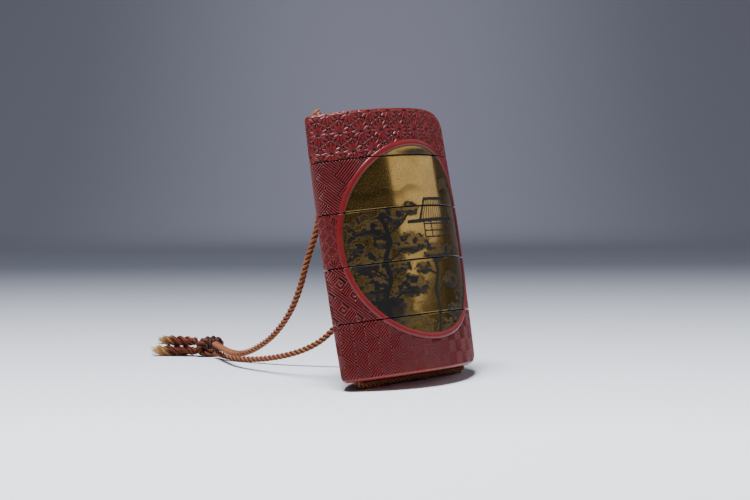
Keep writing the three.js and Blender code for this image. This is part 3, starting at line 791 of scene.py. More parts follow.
def scrolls(a, z):
    p, q = slanted(a + SCROLL_PLACE[0], z + SCROLL_PLACE[1])
    s, t = p % SCROLL_PITCH, q % SCROLL_PITCH
    cell = SCROLL_SIZE / len(SCROLL)
    chart = np.array([[int(mark) for mark in row] for row in SCROLL], float)
    total = 0
    for ds in SOFTENING:
        for dt in SOFTENING:
            i = np.clip((s / cell + ds).astype(int), 0, len(SCROLL) - 1)
            j = np.clip((t / cell + dt).astype(int), 0, len(SCROLL) - 1)
            total = total + chart[i, j] / len(SOFTENING) ** 2
    inside = (s < SCROLL_SIZE) & (t < SCROLL_SIZE)
    beyond = np.where(s > SCROLL_SIZE, s - SCROLL_SIZE, t - SCROLL_SIZE)
    lines = ridges(beyond + BAND_START, BAND_LINES)
    frame_cut = smooth_step(0.05, 0.2, np.abs(np.maximum(s, t) - SCROLL_SIZE - 0.1))
    return np.where(inside, 0.12 + 0.88 * total, lines) * np.where(inside, 1, frame_cut)


# %% Nested lozenges on the bottom case
LOZENGE_SIDE = 5.45
LOZENGE_PLACE = (26.4, -4.9)
LOZENGE_RINGS = 4


def lozenges(a, z):
    p, q = slanted(a + LOZENGE_PLACE[0], z + LOZENGE_PLACE[1])
    s = np.abs(p - np.rint(p / LOZENGE_SIDE) * LOZENGE_SIDE)
    t = np.abs(q - np.rint(q / LOZENGE_SIDE) * LOZENGE_SIDE)
    reach = np.maximum(s, t)
    pitch = LOZENGE_SIDE / 2 / LOZENGE_RINGS
    outer = smooth_step(LOZENGE_SIDE / 2, LOZENGE_SIDE / 2 - 0.16, reach)
    return ridges(reach + pitch / 2, pitch) * (0.1 + 0.9 * outer)


print("grounds:", [ground.__name__ for ground in (lozenges, scrolls, fans, plait, stars)])

# %% [markdown]
# ## Relief over a whole wall
#
# A wall is the gold panel, the bead and the carved ground. The ground runs on round the narrow
# ends and stops there, and the edges of the base and the lid are smooth. The seams' edges are
# rubbed round, here more and there less. Carving is worn shallow where hands and cord rub it.

# %% Relief and wear
CARVING_DEPTH = 0.42
END_ARC = END_RADIUS * (math.pi / 2 - FACE_ANGLE)
BASE_BAND = 1.2
LID_BAND = 0.5
SEAM_ROUND = 0.16
CASE_HEIGHTS = (18.1, 17.3, 16.8, 16.5)
SEAMS = np.cumsum(CASE_HEIGHTS)
SEAM_GAP = 0.3
NAMES = ("bottom_case", "third_case", "second_case", "upper_case", "lid")
GROUNDS = (lozenges, scrolls, fans, plait, stars)
WEAR_SEED, DEPTH_SEED, CHIP_SEED = 31, 41, 51
END_WEAR, EDGE_WEAR = 0.45, 0.5
MOST_WORN = 0.45


def section_range(index):
    """The heights between which a section shows."""
    low = 0.0 if index == 0 else SEAMS[index - 1] + SEAM_GAP / 2
    high = HEIGHT if index == len(SEAMS) else SEAMS[index] - SEAM_GAP / 2
    return low, high


def round_the_case(face, along):
    """Distance along the front's wall, which runs on round a narrow end onto the back."""
    return np.where(face == FRONT, along, np.sign(along) * (2 * WALL_LENGTH - np.abs(along)))


def worn(face, along, z):
    """How far a place is rubbed down, from 0 to 1."""
    around = round_the_case(face, along)
    patchy = cloudy(WEAR_SEED, around / 5, z / 5)
    near_end = np.exp(-np.abs(np.abs(around) - WALL_LENGTH) / 1.4)
    near_edge = np.exp(-np.minimum(z, HEIGHT - z) / 2.0)
    handled_most = END_WEAR * near_end + EDGE_WEAR * near_edge
    return np.clip(0.35 * smooth_step(0.45, 0.8, patchy) + handled_most, 0, 1)


def ground_height(index, face, along, z):
    """The carved ground of a section, from 0 in its cuts to 1 on its skin."""
    around = round_the_case(face, along)
    beyond = np.abs(around) - WALL_LENGTH - END_ARC
    to_edge = np.full(len(z), HEIGHT)
    if index == 0:
        to_edge = z - BASE_BAND
    elif index == len(SEAMS):
        to_edge = HEIGHT - z - LID_BAND
    smooth = np.maximum(smooth_step(-0.3, 0.0, beyond), smooth_step(0, -0.35, to_edge))
    return GROUNDS[index](around, z) * (1 - smooth) + smooth


def relief(index, face, along, z):
    """Lift of the finished wall of one section, in millimetres."""
    low, high = section_range(index)
    distance = outside_oval(along, z)
    depth = CARVING_DEPTH * (1 - MOST_WORN * worn(face, along, z))
    depth = depth * (0.85 + 0.3 * cloudy(DEPTH_SEED, along / 3, z / 3))
    lift = -depth * (1 - ground_height(index, face, along, z))
    lift = np.where(distance < BEAD_WIDTH, bead_lift(distance), lift)
    lift = np.where(distance < 0, -PANEL_DEPTH, lift)
    uneven = cloudy(CHIP_SEED, along / 1.7 + 30 * face, z * 0 + index, 3)
    chip = 0.8 * smooth_step(0.6, 0.8, uneven)
    for seam in (low, high):
        if 0 < seam < HEIGHT:
            lift = lift - rounding(SEAM_ROUND * (1 + chip), np.abs(z - seam))
    return lift


# %% [markdown]
# ## From the CAD solid to the carved section
#
# The CAD solid already has the hollow compartment, the rim, the socket and the two channels, but
# its outside is coarse. A finely wrapped envelope has the right outside and no inside. Blender's
# Boolean keeps what both share, once the solid's outside is moved out of the envelope's way.

# %% The envelope of a section
FINE = 0.135
COARSE = 0.6
ROW = 0.14
STEP_IN = 1.2
RIM_REACH = 5.0
CAP_ROWS = 12
HAIR = 0.01
BACK_MARGIN = 0.2


def wall_stations():
    """Columns round the case: fine cells on the front and the narrow ends, coarse ones behind."""
    fine_from = WALL_LENGTH - END_ARC - BACK_MARGIN
    front = np.linspace(-WALL_LENGTH, WALL_LENGTH, int(2 * WALL_LENGTH / FINE) + 1)
    end = np.linspace(WALL_LENGTH, fine_from, int((WALL_LENGTH - fine_from) / FINE) + 1)[1:]
    back = np.linspace(fine_from, -fine_from, int(2 * fine_from / COARSE) + 1)[1:]
    along = np.concatenate([front, end, back, -end[::-1][1:], [-WALL_LENGTH]])
    behind = len(along) - len(front)
    return np.concatenate([np.full(len(front), FRONT), np.full(behind, BACK)]), along


def envelope(index):
    """A closed tube with the finished outside of one section, and nothing hollow in it."""
    low, high = section_range(index)
    is_lid = index == len(SEAMS)
    face, along = wall_stations()
    count = int((high - low) / ROW)
    levels = np.linspace(low + HAIR, high if is_lid else high - HAIR, count + 1)
    rings = []
    for level in levels:
        z = np.full(len(along), level)
        rings.append(wall(face, along, z, relief(index, face, along, z)))
    if is_lid:
        edge = rings[-1]
        for share in np.linspace(1, 0, CAP_ROWS + 1)[1:-1]:
            ring = edge * [share, share, 1]
            ring[:, 2] = HEIGHT + DOME * (1 - share**2)
            rings.append(ring)
    else:
        for level in (high - HAIR, high + RIM_REACH):
            rings.append(wall(face, along, np.full(len(along), level), -STEP_IN))
    rings = np.array(rings)
    return rolled("envelope", len(along) - 1, len(rings) - 1, lambda u, v: to_table(rings[v, u]))


# %% Moving the solid's outside clear, and keeping what both share
CLEAR = 1.0
GROUND_REACH = 1.3
CHANNEL_MOUTH = CORD_DROP + MOUTH_ROUND + 0.1


def opened_copy(node):
    """A merged copy of a CAD node whose outer skin is moved out by CLEAR.

    The land round its rim is raised, so that no daylight comes through the seam above it.
    """
    bm = bmesh.new()
    bm.from_mesh(node.data)
    bmesh.ops.remove_doubles(bm, verts=bm.verts, dist=WELD)
    copy = link(node.name + "_copy", bm, smooth=False)
    local = to_upright(coordinates(copy.data))
    face, along, z, lift = along_and_lift(local)
    outer = lift > -GROUND_REACH
    moved = np.where(outer[:, None], wall(face, along, z, lift + CLEAR), local)
    mouth = np.hypot(np.abs(local[:, 0]) - CHANNEL_X, local[:, 1]) < CHANNEL_MOUTH
    land = SEAMS[NAMES.index(node.name)] - SEAM_GAP / 2 if node.name != "lid" else 2 * HEIGHT
    moved[:, 2] += np.where(np.abs(z - land) < HAIR / 2, SEAM_GAP - 2 * HAIR, 0)
    moved[:, 2] += np.where((z > HEIGHT - HAIR) & ~mouth, CLEAR, 0)
    moved[:, 2] -= np.where((z < HAIR) & ~mouth, CLEAR, 0)
    copy.data.vertices.foreach_set("co", to_table(moved).ravel())
    return copy


def carved_section(index):
    """What the envelope and the hollow solid of one section share."""
    name = NAMES[index]
    piece = envelope(index)
    cutter = opened_copy(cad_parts[name])
    shared = piece.modifiers.new("shared", "BOOLEAN")
    shared.operation = "INTERSECT"
    shared.solver = "MANIFOLD"
    shared.object = cutter
    evaluated = piece.evaluated_get(bpy.context.evaluated_depsgraph_get())
    mesh = bpy.data.meshes.new_from_object(evaluated)
    mesh.materials.clear()
    piece.modifiers.clear()
    piece.data = mesh
    bpy.data.objects.remove(cutter)
    piece.name = mesh.name = "carved_" + name
    return piece


# %% The five carved sections
sections = {}
for index, name in enumerate(NAMES):
    sections[name] = carved_section(index)
    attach(sections[name], "root")
    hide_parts(name)
    print(sections[name].name, "has", len(sections[name].data.vertices), "vertices")


# %% [markdown]
# ## Painted gold
#
# The front panel is polished gold lacquer with a landscape in dark ink: bare gold sky with a
# smoky cloud, a far ridge, a thatched hut, pines that lean over rocks, reeds, and a few ripples.
# It is drawn here from strokes and clumps, as a brush would, and kept as a value at each point
# of the mesh. The back has only two ridges and a cloud, since it faces the table.

# %% Strokes, clumps and washes
FAR_AWAY = 1e9
STROKE_SEED, CLUMP_SEED, DAB_SEED, WASH_SEED = 60, 70, 80, 90


def stroke(a, z, points, width, seed=0):
    """A brushed line through points: 1 on the line, 0 beyond its uneven edge."""
    nearest = np.full(len(a), FAR_AWAY)
    for (a0, z0), (a1, z1) in zip(points[:-1], points[1:]):
        length = (a1 - a0) ** 2 + (z1 - z0) ** 2
        share = np.clip(((a - a0) * (a1 - a0) + (z - z0) * (z1 - z0)) / length, 0, 1)
        gap = np.hypot(a - a0 - share * (a1 - a0), z - z0 - share * (z1 - z0))
        nearest = np.minimum(nearest, gap)
    uneven = width * (0.65 + 0.7 * cloudy(STROKE_SEED + seed, a / 1.1, z / 1.1, 3))
    return smooth_step(uneven, uneven * 0.45, nearest)


def clump(a, z, centre_a, centre_z, half_a, half_z, seed):
    """A dabbed mass with a ragged edge, darkest along its underside, in a halo of thin ink."""
    reach = np.hypot((a - centre_a) / (1.2 * half_a), (z - centre_z) / (1.35 * half_z))
    ragged = reach + 0.6 * (cloudy(CLUMP_SEED + seed, a / 1.3, z / 0.9, 5) - 0.5)
    dabs = 0.5 + 0.4 * smooth_step(0.4, 0.62, cloudy(DAB_SEED + seed, a / 1.6, z / 1.1, 4))
    dabs = np.maximum(dabs, smooth_step(0.1, -0.5, (z - centre_z) / half_z) * 0.8)
    halo = 0.26 * smooth_step(1.45, 0.85, ragged)
    return np.maximum(smooth_step(1.06, 0.84, ragged) * np.clip(dabs, 0, 1), halo)


def wash(a, z, centre_a, centre_z, half_a, half_z, seed, strength):
    """A soft cloud of thin ink."""
    reach = np.hypot((a - centre_a) / half_a, (z - centre_z) / half_z)
    ragged = reach + 0.7 * (cloudy(WASH_SEED + seed, a / 4, z / 2.5) - 0.5)
    return strength * smooth_step(1.1, 0.2, ragged)


# %% The landscape on the front
PINE_TRUNK = [(-19, 12), (-17.2, 18), (-18.2, 24), (-15.4, 30), (-16.6, 36), (-14, 42), (-15, 47)]
PINE_BOUGHS = [
    [(-17.6, 22), (-12, 25.5), (-6, 25)], [(-17, 31), (-22, 34.5), (-26, 33.6)],
    [(-16, 35), (-10, 39), (-4, 38)], [(-14.6, 42), (-20, 45.5), (-25, 44.6)],
    [(-14, 44), (-9, 47), (-6, 50)],
]
PINE_CLUMPS = [
    (-8.5, 27.4, 6.8, 2.9), (-23.4, 36.4, 5.2, 3.4), (-6, 40.6, 6.6, 2.7), (-21, 47.2, 6.2, 3.0),
    (-12.5, 49.6, 5.2, 2.6), (-13, 34.0, 5.0, 2.2), (-22, 28.4, 5.6, 3.4), (-5, 51.6, 3.6, 1.8),
    (-15.5, 42.4, 4.2, 2.4), (-25.6, 42, 2.8, 2.6), (-17.6, 22.6, 5.2, 2.6),
]
SECOND_TRUNK = [(1.4, 12), (2.8, 19), (1.8, 25), (4.2, 31), (3.6, 35)]
SECOND_BOUGHS = [
    [(2.2, 24), (7, 27), (12, 25.4)], [(4.0, 30), (-1, 32), (-3, 31)],
    [(3.8, 33), (9, 36), (12, 36.4)],
]
SECOND_CLUMPS = [
    (4.6, 37.4, 5.2, 2.4), (11.5, 28.2, 4.8, 2.1), (-2.4, 32.6, 3.2, 1.6), (13, 37.4, 4.2, 1.8),
    (11.6, 18.4, 4.6, 1.9),
]
ROCKS = [(-20, 17.6, 8.6, 4.6), (-9.5, 14.6, 8.0, 3.2), (8, 13.4, 7.4, 2.4), (19, 20.6, 5.4, 3.0)]
HUT_LEFT, HUT_RIGHT, HUT_EAVES, HUT_RIDGE = -1.0, 17.0, 47.8, 54.4
HUT_HIP = 3.2
HUT_POST = 5.6
THATCH_LINES = 12
REEDS, REED_FROM, REED_GAP, REED_FOOT = 16, 17, 0.5, 19
RIPPLES = ((24.2, 12, 26), (21.6, -8, 4), (37.4, 14, 27), (47.0, 15, 25))
WASHES = (
    (2, 69.6, 14, 2.0, 1, 0.7), (17, 59, 7, 5, 2, 0.55), (-19, 36, 12, 17, 3, 0.55),
    (-16, 20, 13, 11, 4, 0.75), (20, 34, 7, 9, 5, 0.3),
)
TRUNK_SEED, SECOND_SEED, BOUGH_SEED, ROCK_SEED = 5, 6, 7, 20
FAR_SEED, NEAR_BACK_SEED, FAR_BACK_SEED, HAZE_SEED = 61, 62, 63, 64


def ridge_line(a, seed, base, rise):
    """The height of a line of hills along the wall."""
    return base + rise * cloudy(seed, a / 9, a * 0, 3)


def hut(a, z):
    left, right, eaves, ridge_top = HUT_LEFT, HUT_RIGHT, HUT_EAVES, HUT_RIDGE
    roof = [(left, eaves), (left + HUT_HIP, ridge_top), (right - HUT_HIP, ridge_top), (right, eaves)]
    ink = stroke(a, z, roof, 0.6)
    ink = np.maximum(ink, stroke(a, z, [(left - 5, eaves - 0.5), (right + 1.6, eaves + 0.2)], 0.75, 1))
    for share in np.linspace(0.08, 0.92, THATCH_LINES):
        top = (left + HUT_HIP + share * (right - left - 2 * HUT_HIP), ridge_top - 0.4)
        foot = (left + share * (right - left), eaves + 0.4)
        ink = np.maximum(ink, 0.8 * stroke(a, z, [top, foot], 0.24, 2))
    for post in (left + 1.6, left + 5.2, right - 4.6, right - 1.4):
        ink = np.maximum(ink, stroke(a, z, [(post, eaves), (post, eaves - HUT_POST)], 0.38, 3))
    for drop in (1.4, 3.6, HUT_POST):
        rail = [(left + 1.6, eaves - drop), (right - 1.4, eaves - drop)]
        ink = np.maximum(ink, stroke(a, z, rail, 0.3, 4))
    return ink


def reeds(a, z):
    ink = np.zeros(len(a))
    for number in range(REEDS):
        foot = REED_FROM + REED_GAP * number
        lean = 2.6 * math.sin(number * 2.1)
        tip = 5.5 + 2.5 * math.cos(number * 1.7)
        middle = (foot + lean * 0.4, REED_FOOT + tip * 0.6)
        stem = [(foot, REED_FOOT), middle, (foot + lean, REED_FOOT + tip)]
        ink = np.maximum(ink, stroke(a, z, stem, 0.2, number))
    return ink


def front_ink(a, z):
    """How much ink lies on each place of the front's gold, from 0 to 1."""
    ink = stroke(a, z, PINE_TRUNK, 1.3, TRUNK_SEED)
    ink = np.maximum(ink, stroke(a, z, SECOND_TRUNK, 1.1, SECOND_SEED))
    for number, bough in enumerate(PINE_BOUGHS + SECOND_BOUGHS):
        ink = np.maximum(ink, stroke(a, z, bough, 0.5, BOUGH_SEED + number))
    for number, (ca, cz, ha, hz) in enumerate(PINE_CLUMPS + SECOND_CLUMPS):
        ink = np.maximum(ink, 0.92 * clump(a, z, ca, cz, ha, hz, number))
    for number, (ca, cz, ha, hz) in enumerate(ROCKS):
        ink = np.maximum(ink, 0.72 * clump(a, z, ca, cz, ha, hz, ROCK_SEED + number))
    ink = np.maximum(ink, hut(a, z))
    ink = np.maximum(ink, reeds(a, z))
    far = ridge_line(a, FAR_SEED, 56.5, 5)
    ink = np.maximum(ink, 0.3 * smooth_step(0.5, 0.1, np.abs(z - far)) * smooth_step(4, -6, a))
    under = np.clip((far - z) / 4, 0, 1)
    ink = np.maximum(ink, 0.34 * smooth_step(1, 0.2, under) * (z < far) * smooth_step(6, -4, a))
    for height, start, end in RIPPLES:
        ripple = height + 0.35 * np.sin(a * 0.9)
        fade = smooth_step(start - 1, start + 1.5, a) * smooth_step(end + 1, end - 1.5, a)
        ink = np.maximum(ink, 0.6 * fade * smooth_step(0.26, 0.1, np.abs(z - ripple)))
    smoke = sum(wash(a, z, *cloud) for cloud in WASHES)
    return np.clip(np.maximum(ink, smoke), 0, 1)


def back_ink(a, z):
    """The same for the back's gold."""
    near, far = ridge_line(a, NEAR_BACK_SEED, 24, 12), ridge_line(a, FAR_BACK_SEED, 36, 12)
    haze = 0.7 + 0.3 * cloudy(HAZE_SEED, a / 2, z / 2)
    ink = 0.55 * smooth_step(0.3, -0.3, z - near) * haze
    behind = 0.3 * smooth_step(0.25, -0.25, z - far) * np.clip(1 - (far - z) / 9, 0, 1)
    ink = np.maximum(ink, behind)
    return np.clip(ink + wash(a, z, 6, 60, 15, 4, 5, 0.4), 0, 1)


# %% Values and finishes over each section's mesh
SKIN = 0.8
SHARP_EDGE = math.radians(62)
RED, GOLD, BLACK = 0, 1, 2


def store(mesh, name, values):
    layer = mesh.attributes.new(name, "FLOAT", "POINT")
    layer.data.foreach_set("value", np.asarray(values, np.float32))


def finish_values(piece, index):
    """Stores how proud, how rubbed and how inked each point is; the ink holds painted edge shade."""
    face, along, z, lift = along_and_lift(to_upright(coordinates(piece.data)))
    distance = outside_oval(along, z)
    bead = np.clip(1.15 - np.abs(2 * distance / BEAD_WIDTH - 1) ** 6, 0, 1)
    ground = ground_height(index, face, along, z)
    store(piece.data, "relief", np.where(distance < BEAD_WIDTH, bead, ground))
    store(piece.data, "rub", worn(face, along, z))
    front = face == FRONT
    ink = np.zeros(len(z))
    ink[front] = front_ink(along[front], z[front])
    ink[~front] = back_ink(along[~front], z[~front])
    # Painted shade: the gold is darkened along each seam and at the panel's edge under the bead.
    seam = np.min(np.abs(z[:, None] - SEAMS[None, :]), axis=1)
    edge = np.maximum(smooth_step(0.4, 0.2, seam) * 0.8, smooth_step(-0.7, 0.0, distance) * 0.7)
    store(piece.data, "ink", np.maximum(ink, edge))


def finish_faces(piece):
    """Gives each face of a section its lacquer: red skin, gold panel, or black inside."""
    mesh = piece.data
    centres = np.zeros(len(mesh.polygons) * 3)
    mesh.polygons.foreach_get("center", centres)
    local = to_upright(centres.reshape(-1, 3))
    face, along, z, lift = along_and_lift(local)
    skin = lift > -SKIN
    ends = (z > HEIGHT - 0.1) | (z < 0.06)
    from_channel = np.hypot(np.abs(local[:, 0]) - CHANNEL_X, local[:, 1])
    channel = (from_channel < CORD_DROP + 0.2) & (lift < -SKIN)
    gold = skin & (outside_oval(along, z) < 0) & (lift < -PANEL_DEPTH * 0.8)
    slots = np.where(gold, GOLD, np.where((skin | ends) & ~channel, RED, BLACK))
    mesh.polygons.foreach_set("material_index", slots.astype(np.int32))
    mesh.polygons.foreach_set("use_smooth", [True] * len(mesh.polygons))
    mesh.set_sharp_from_angle(angle=SHARP_EDGE)


for index, piece in enumerate(sections.values()):
    finish_values(piece, index)
    finish_faces(piece)
print("painted", len(sections), "sections")

# %% [markdown]
# ## Building a material from nodes
#
# A short helper adds a node, fills its inputs with numbers or with other nodes' outputs, and
# returns it, so that each material below reads from the surface's values to its shader.

# %% Adding nodes
def add(tree, kind, inputs=None, **settings):
    node = tree.nodes.new(kind)
    for name, value in settings.items():
        setattr(node, name, value)
    for name, value in (inputs or {}).items():
        socket = node.inputs[name]
        if isinstance(value, bpy.types.NodeSocket):
            tree.links.new(value, socket)
        else:
            socket.default_value = value
    return node


def linear(red, green, blue):
    """An sRGB colour from 0 to 255 as the linear colour a shader takes."""
    shares = [channel / 255 for channel in (red, green, blue)]
    return tuple(c / 12.92 if c <= 0.04045 else ((c + 0.055) / 1.055) ** 2.4 for c in shares) + (1,)


def mixed(tree, share, low, high):
    node = add(tree, "ShaderNodeMix", data_type="RGBA")
    for socket, value in ((node.inputs[0], share), (node.inputs[6], low), (node.inputs[7], high)):
        if isinstance(value, bpy.types.NodeSocket):
            tree.links.new(value, socket)
        else:
            socket.default_value = value
    return node.outputs[2]


def ranged(tree, value, low, high, out_low=0.0, out_high=1.0):
    node = add(tree, "ShaderNodeMapRange", interpolation_type="SMOOTHSTEP")
    numbers = {"From Min": low, "From Max": high, "To Min": out_low, "To Max": out_high}
    for name, number in numbers.items():
        node.inputs[name].default_value = number
    tree.links.new(value, node.inputs["Value"])
    return node.outputs["Result"]


def maths(tree, operation, *values):
    return add(tree, "ShaderNodeMath", dict(enumerate(values)), operation=operation).outputs[0]


def noise(tree, place, scale, detail, roughness=0.5):
    inputs = {"Vector": place, "Scale": scale, "Detail": detail, "Roughness": roughness}
    return add(tree, "ShaderNodeTexNoise", inputs).outputs["Fac"]


def attribute(tree, name, output="Fac"):
    return add(tree, "ShaderNodeAttribute", attribute_name=name).outputs[output]


def new_material(name):
    material = bpy.data.materials.new(name)
    material.use_nodes = True
    material.node_tree.nodes.clear()
    return material, material.node_tree


def finish_shader(tree, inputs, height=None, strength=0.3, distance=0.0001):
    shader = add(tree, "ShaderNodeBsdfPrincipled", inputs)
    if height is not None:
        values = {"Height": height, "Strength": strength, "Distance": distance}
        bump = add(tree, "ShaderNodeBump", values)
        tree.links.new(bump.outputs["Normal"], shader.inputs["Normal"])
    output = add(tree, "ShaderNodeOutputMaterial")
    tree.links.new(shader.outputs[0], output.inputs[0])


# %% [markdown]
# ## Two effects that every finish shares
#
# Lacquer, gold and silk have all been handled for generations. One node group tints a colour in
# soft patches and makes the same patches duller. The other gives the finest unevenness of a
# surface, as a height for a bump. Each material places them with its own values.

# %% The group for handling
def group_with(name, inputs, outputs):
    group = bpy.data.node_groups.new(name, "ShaderNodeTree")
    for label, kind, value in inputs:
        socket = group.interface.new_socket(label, in_out="INPUT", socket_type=kind)
        socket.default_value = value
    for label, kind in outputs:
        group.interface.new_socket(label, in_out="OUTPUT", socket_type=kind)
    return group, add(group, "NodeGroupInput").outputs, add(group, "NodeGroupOutput").inputs


FLOAT, COLOUR = "NodeSocketFloat", "NodeSocketColor"
handling, given, made = group_with(
    "Handling",
    [("Colour", COLOUR, (1, 1, 1, 1)), ("Tint", COLOUR, (0, 0, 0, 1)), ("Amount", FLOAT, 0.3),
     ("Patch Size", FLOAT, 120.0), ("Gloss", FLOAT, 0.3), ("Dullness", FLOAT, 0.1)],
    [("Colour", COLOUR), ("Roughness", FLOAT)])
place = add(handling, "ShaderNodeTexCoord").outputs["Object"]
patches = ranged(handling, noise(handling, place, given["Patch Size"], 5.0, 0.6), 0.35, 0.7)
share = maths(handling, "MULTIPLY", patches, given["Amount"])
handling.links.new(mixed(handling, share, given["Colour"], given["Tint"]), made["Colour"])
dulled = maths(handling, "MULTIPLY_ADD", patches, given["Dullness"], given["Gloss"])
handling.links.new(dulled, made["Roughness"])

# %% The group for the finest grain
grain, given, made = group_with(
    "Grain", [("Scale", FLOAT, 2000.0), ("Pits", FLOAT, 0.5)], [("Height", FLOAT)])
place = add(grain, "ShaderNodeTexCoord").outputs["Object"]
fine = noise(grain, place, given["Scale"], 3.0)
cells = add(grain, "ShaderNodeTexVoronoi",
            {"Vector": place, "Scale": given["Scale"]}).outputs["Distance"]
pits = maths(grain, "MULTIPLY", ranged(grain, cells, 0.0, 0.25), given["Pits"])
grain.links.new(maths(grain, "ADD", fine, pits), made["Height"])


def handled(tree, colour, tint, amount, patch, gloss, dullness):
    node = add(tree, "ShaderNodeGroup", node_tree=handling)
    values = {"Colour": colour, "Tint": tint, "Amount": amount, "Patch Size": patch,
              "Gloss": gloss, "Dullness": dullness}
    for name, value in values.items():
        if isinstance(value, bpy.types.NodeSocket):
            tree.links.new(value, node.inputs[name])
        else:
            node.inputs[name].default_value = value
    return node.outputs["Colour"], node.outputs["Roughness"]


def grained(tree, scale, pits):
    node = add(tree, "ShaderNodeGroup", node_tree=grain)
    node.inputs["Scale"].default_value = scale
    node.inputs["Pits"].default_value = pits
    return node.outputs["Height"]


# %% [markdown]
# ## Red, black and gold lacquer
#
# Carved red lacquer is brightest on its polished ridges, and painted nearly black in its cuts and
# at the bead's feet as shade. The relief value of the mesh tells the two apart. Rubbed places are
# a little lighter. The hidden rims and compartments are plain black lacquer.

# %% Red lacquer
POLISHED_RED, RUBBED_RED, SHADED_RED = linear(112, 24, 26), linear(124, 46, 38), linear(86, 20, 26)
# Painted shade: the near-black colour of the cuts and of the bead's feet.
CUT_SHADE = linear(12, 4, 5)
LACQUER_SPECULAR = 0.3

red_lacquer, tree = new_material("red_lacquer")
relief_value = attribute(tree, "relief")
ridge_red = mixed(tree, attribute(tree, "rub"), POLISHED_RED, RUBBED_RED)
# Painted shade: the relief value darkens the cuts and the bead's feet towards the cut colour.
red_with_cut_shade = mixed(tree, ranged(tree, relief_value, 0.15, 0.85), CUT_SHADE, ridge_red)
colour, roughness = handled(tree, red_with_cut_shade, SHADED_RED, 0.4, 160.0, 0.25, 0.1)
roughness = maths(tree, "ADD", roughness, ranged(tree, relief_value, 0.2, 0.9, 0.3, 0.0))
finish_shader(
    tree, {"Base Color": colour, "Roughness": roughness, "Specular IOR Level": LACQUER_SPECULAR},
    grained(tree, 1400.0, 0.3), 0.12)

# %% Black lacquer
PLAIN_BLACK, DUSTY_BLACK = linear(22, 18, 18), linear(52, 34, 30)

black_lacquer, tree = new_material("black_lacquer")
colour, roughness = handled(tree, PLAIN_BLACK, DUSTY_BLACK, 0.5, 200.0, 0.2, 0.15)
finish_shader(tree, {"Base Color": colour, "Roughness": roughness, "Coat Weight": 0.2},
              grained(tree, 900.0, 0.2), 0.08)

# %% [markdown]
# The gold ground is fine metal powder under clear lacquer. It mirrors the lamps softly, like
# brushed metal, and is peppered with dark specks where the powder has worn through. Thin ink
# lets the metal shine through. Thick ink hides it, and is duller.

# %% Gold lacquer with ink
DEEP_GOLD, PALE_GOLD, BROWN_GOLD = linear(184, 146, 80), linear(206, 168, 102), linear(160, 122, 60)
INK = linear(16, 13, 12)
POWDER_SIZE, SPECK_SIZE, CROWD_SIZE = 2600.0, 1700.0, 110.0

gold_lacquer, tree = new_material("gold_lacquer")
place = add(tree, "ShaderNodeTexCoord").outputs["Object"]
powder = noise(tree, place, POWDER_SIZE, 3.0)
ground = mixed(tree, ranged(tree, powder, 0.3, 0.7), DEEP_GOLD, PALE_GOLD)
colour, roughness = handled(tree, ground, BROWN_GOLD, 0.5, 90.0, 0.12, 0.04)
speck = noise(tree, place, SPECK_SIZE, 2.0)
crowding = maths(tree, "MULTIPLY_ADD", noise(tree, place, CROWD_SIZE, 3.0), 0.22, speck)
specks = ranged(tree, crowding, 0.68, 0.8, 0.0, 0.3)
# The ink value also holds the painted shade along the seams and at the bead's foot.
broken_ink_and_shade = maths(tree, "MULTIPLY_ADD", powder, 0.3, attribute(tree, "ink"))
dark = maths(tree, "MAXIMUM", ranged(tree, broken_ink_and_shade, 0.1, 0.98), specks)
painted = mixed(tree, dark, colour, INK)
metal = ranged(tree, dark, 0.6, 1.0, 0.96, 0.1)
roughness = maths(tree, "ADD", roughness, ranged(tree, dark, 0.3, 0.9, 0.0, 0.3))
finish_shader(
    tree, {"Base Color": painted, "Roughness": roughness, "Metallic": metal,
           "Specular IOR Level": LACQUER_SPECULAR},
    grained(tree, 1500.0, 0.2), 0.008)

for piece in sections.values():
    for material in (red_lacquer, gold_lacquer, black_lacquer):
        piece.data.materials.append(material)

# %% [markdown]
# ## Silk
#
# The cord's silk has faded from dark purple brown to orange on its long free lengths, and kept
# its colour in the knot. The value stored along each strand paints shade into the grooves of the
# lay, and fine stripes that run with the strand are its threads.

# %% Silk threads
THREADS_ACROSS, THREADS_ALONG = 16.0, 0.9
PALE_FROM, PALE_TO = 8.5, 13.0
# The depths over which the painted shade of the lay's grooves fades out.
GROOVE_SHADE_FROM, GROOVE_SHADE_TO = 0.62, 0.93
SILK_SPECULAR = 0.25
SILK_BUMP = 0.00012


def silk(name, colours, sheen=0.0, tip=None):
    """Twisted silk with painted shade in its grooves. A frayed end also pales towards its tip."""
    light, dark, groove_shade, tint = [linear(*colour) for colour in colours]
    material, tree = new_material(name)
    lay = add(tree, "ShaderNodeSeparateXYZ", {0: attribute(tree, "strand", "Vector")}).outputs
    stripes = add(tree, "ShaderNodeCombineXYZ", {0: lay["X"], 1: lay["Y"]}).outputs[0]
    stretched = (THREADS_ACROSS, THREADS_ALONG, 1.0)
    stretch = add(tree, "ShaderNodeMapping", {"Vector": stripes, "Scale": stretched}).outputs[0]
    threads = noise(tree, stretch, 1.0, 4.0)
    body = mixed(tree, ranged(tree, threads, 0.3, 0.7), dark, light)
    if tip:
        body = mixed(tree, ranged(tree, lay["Y"], PALE_FROM, PALE_TO), body, linear(*tip))
    # Painted shade: the grooves between the strands are darkened by their depth.
    shaded = mixed(tree, ranged(tree, lay["Z"], GROOVE_SHADE_FROM, GROOVE_SHADE_TO), groove_shade, body)
    colour, roughness = handled(tree, shaded, tint, 0.5, 180.0, 0.5, 0.2)
    finish_shader(
        tree, {"Base Color": colour, "Roughness": roughness, "Sheen Weight": sheen,
               "Sheen Roughness": 0.4, "Specular IOR Level": SILK_SPECULAR},
        threads, 0.5, SILK_BUMP)
    return material


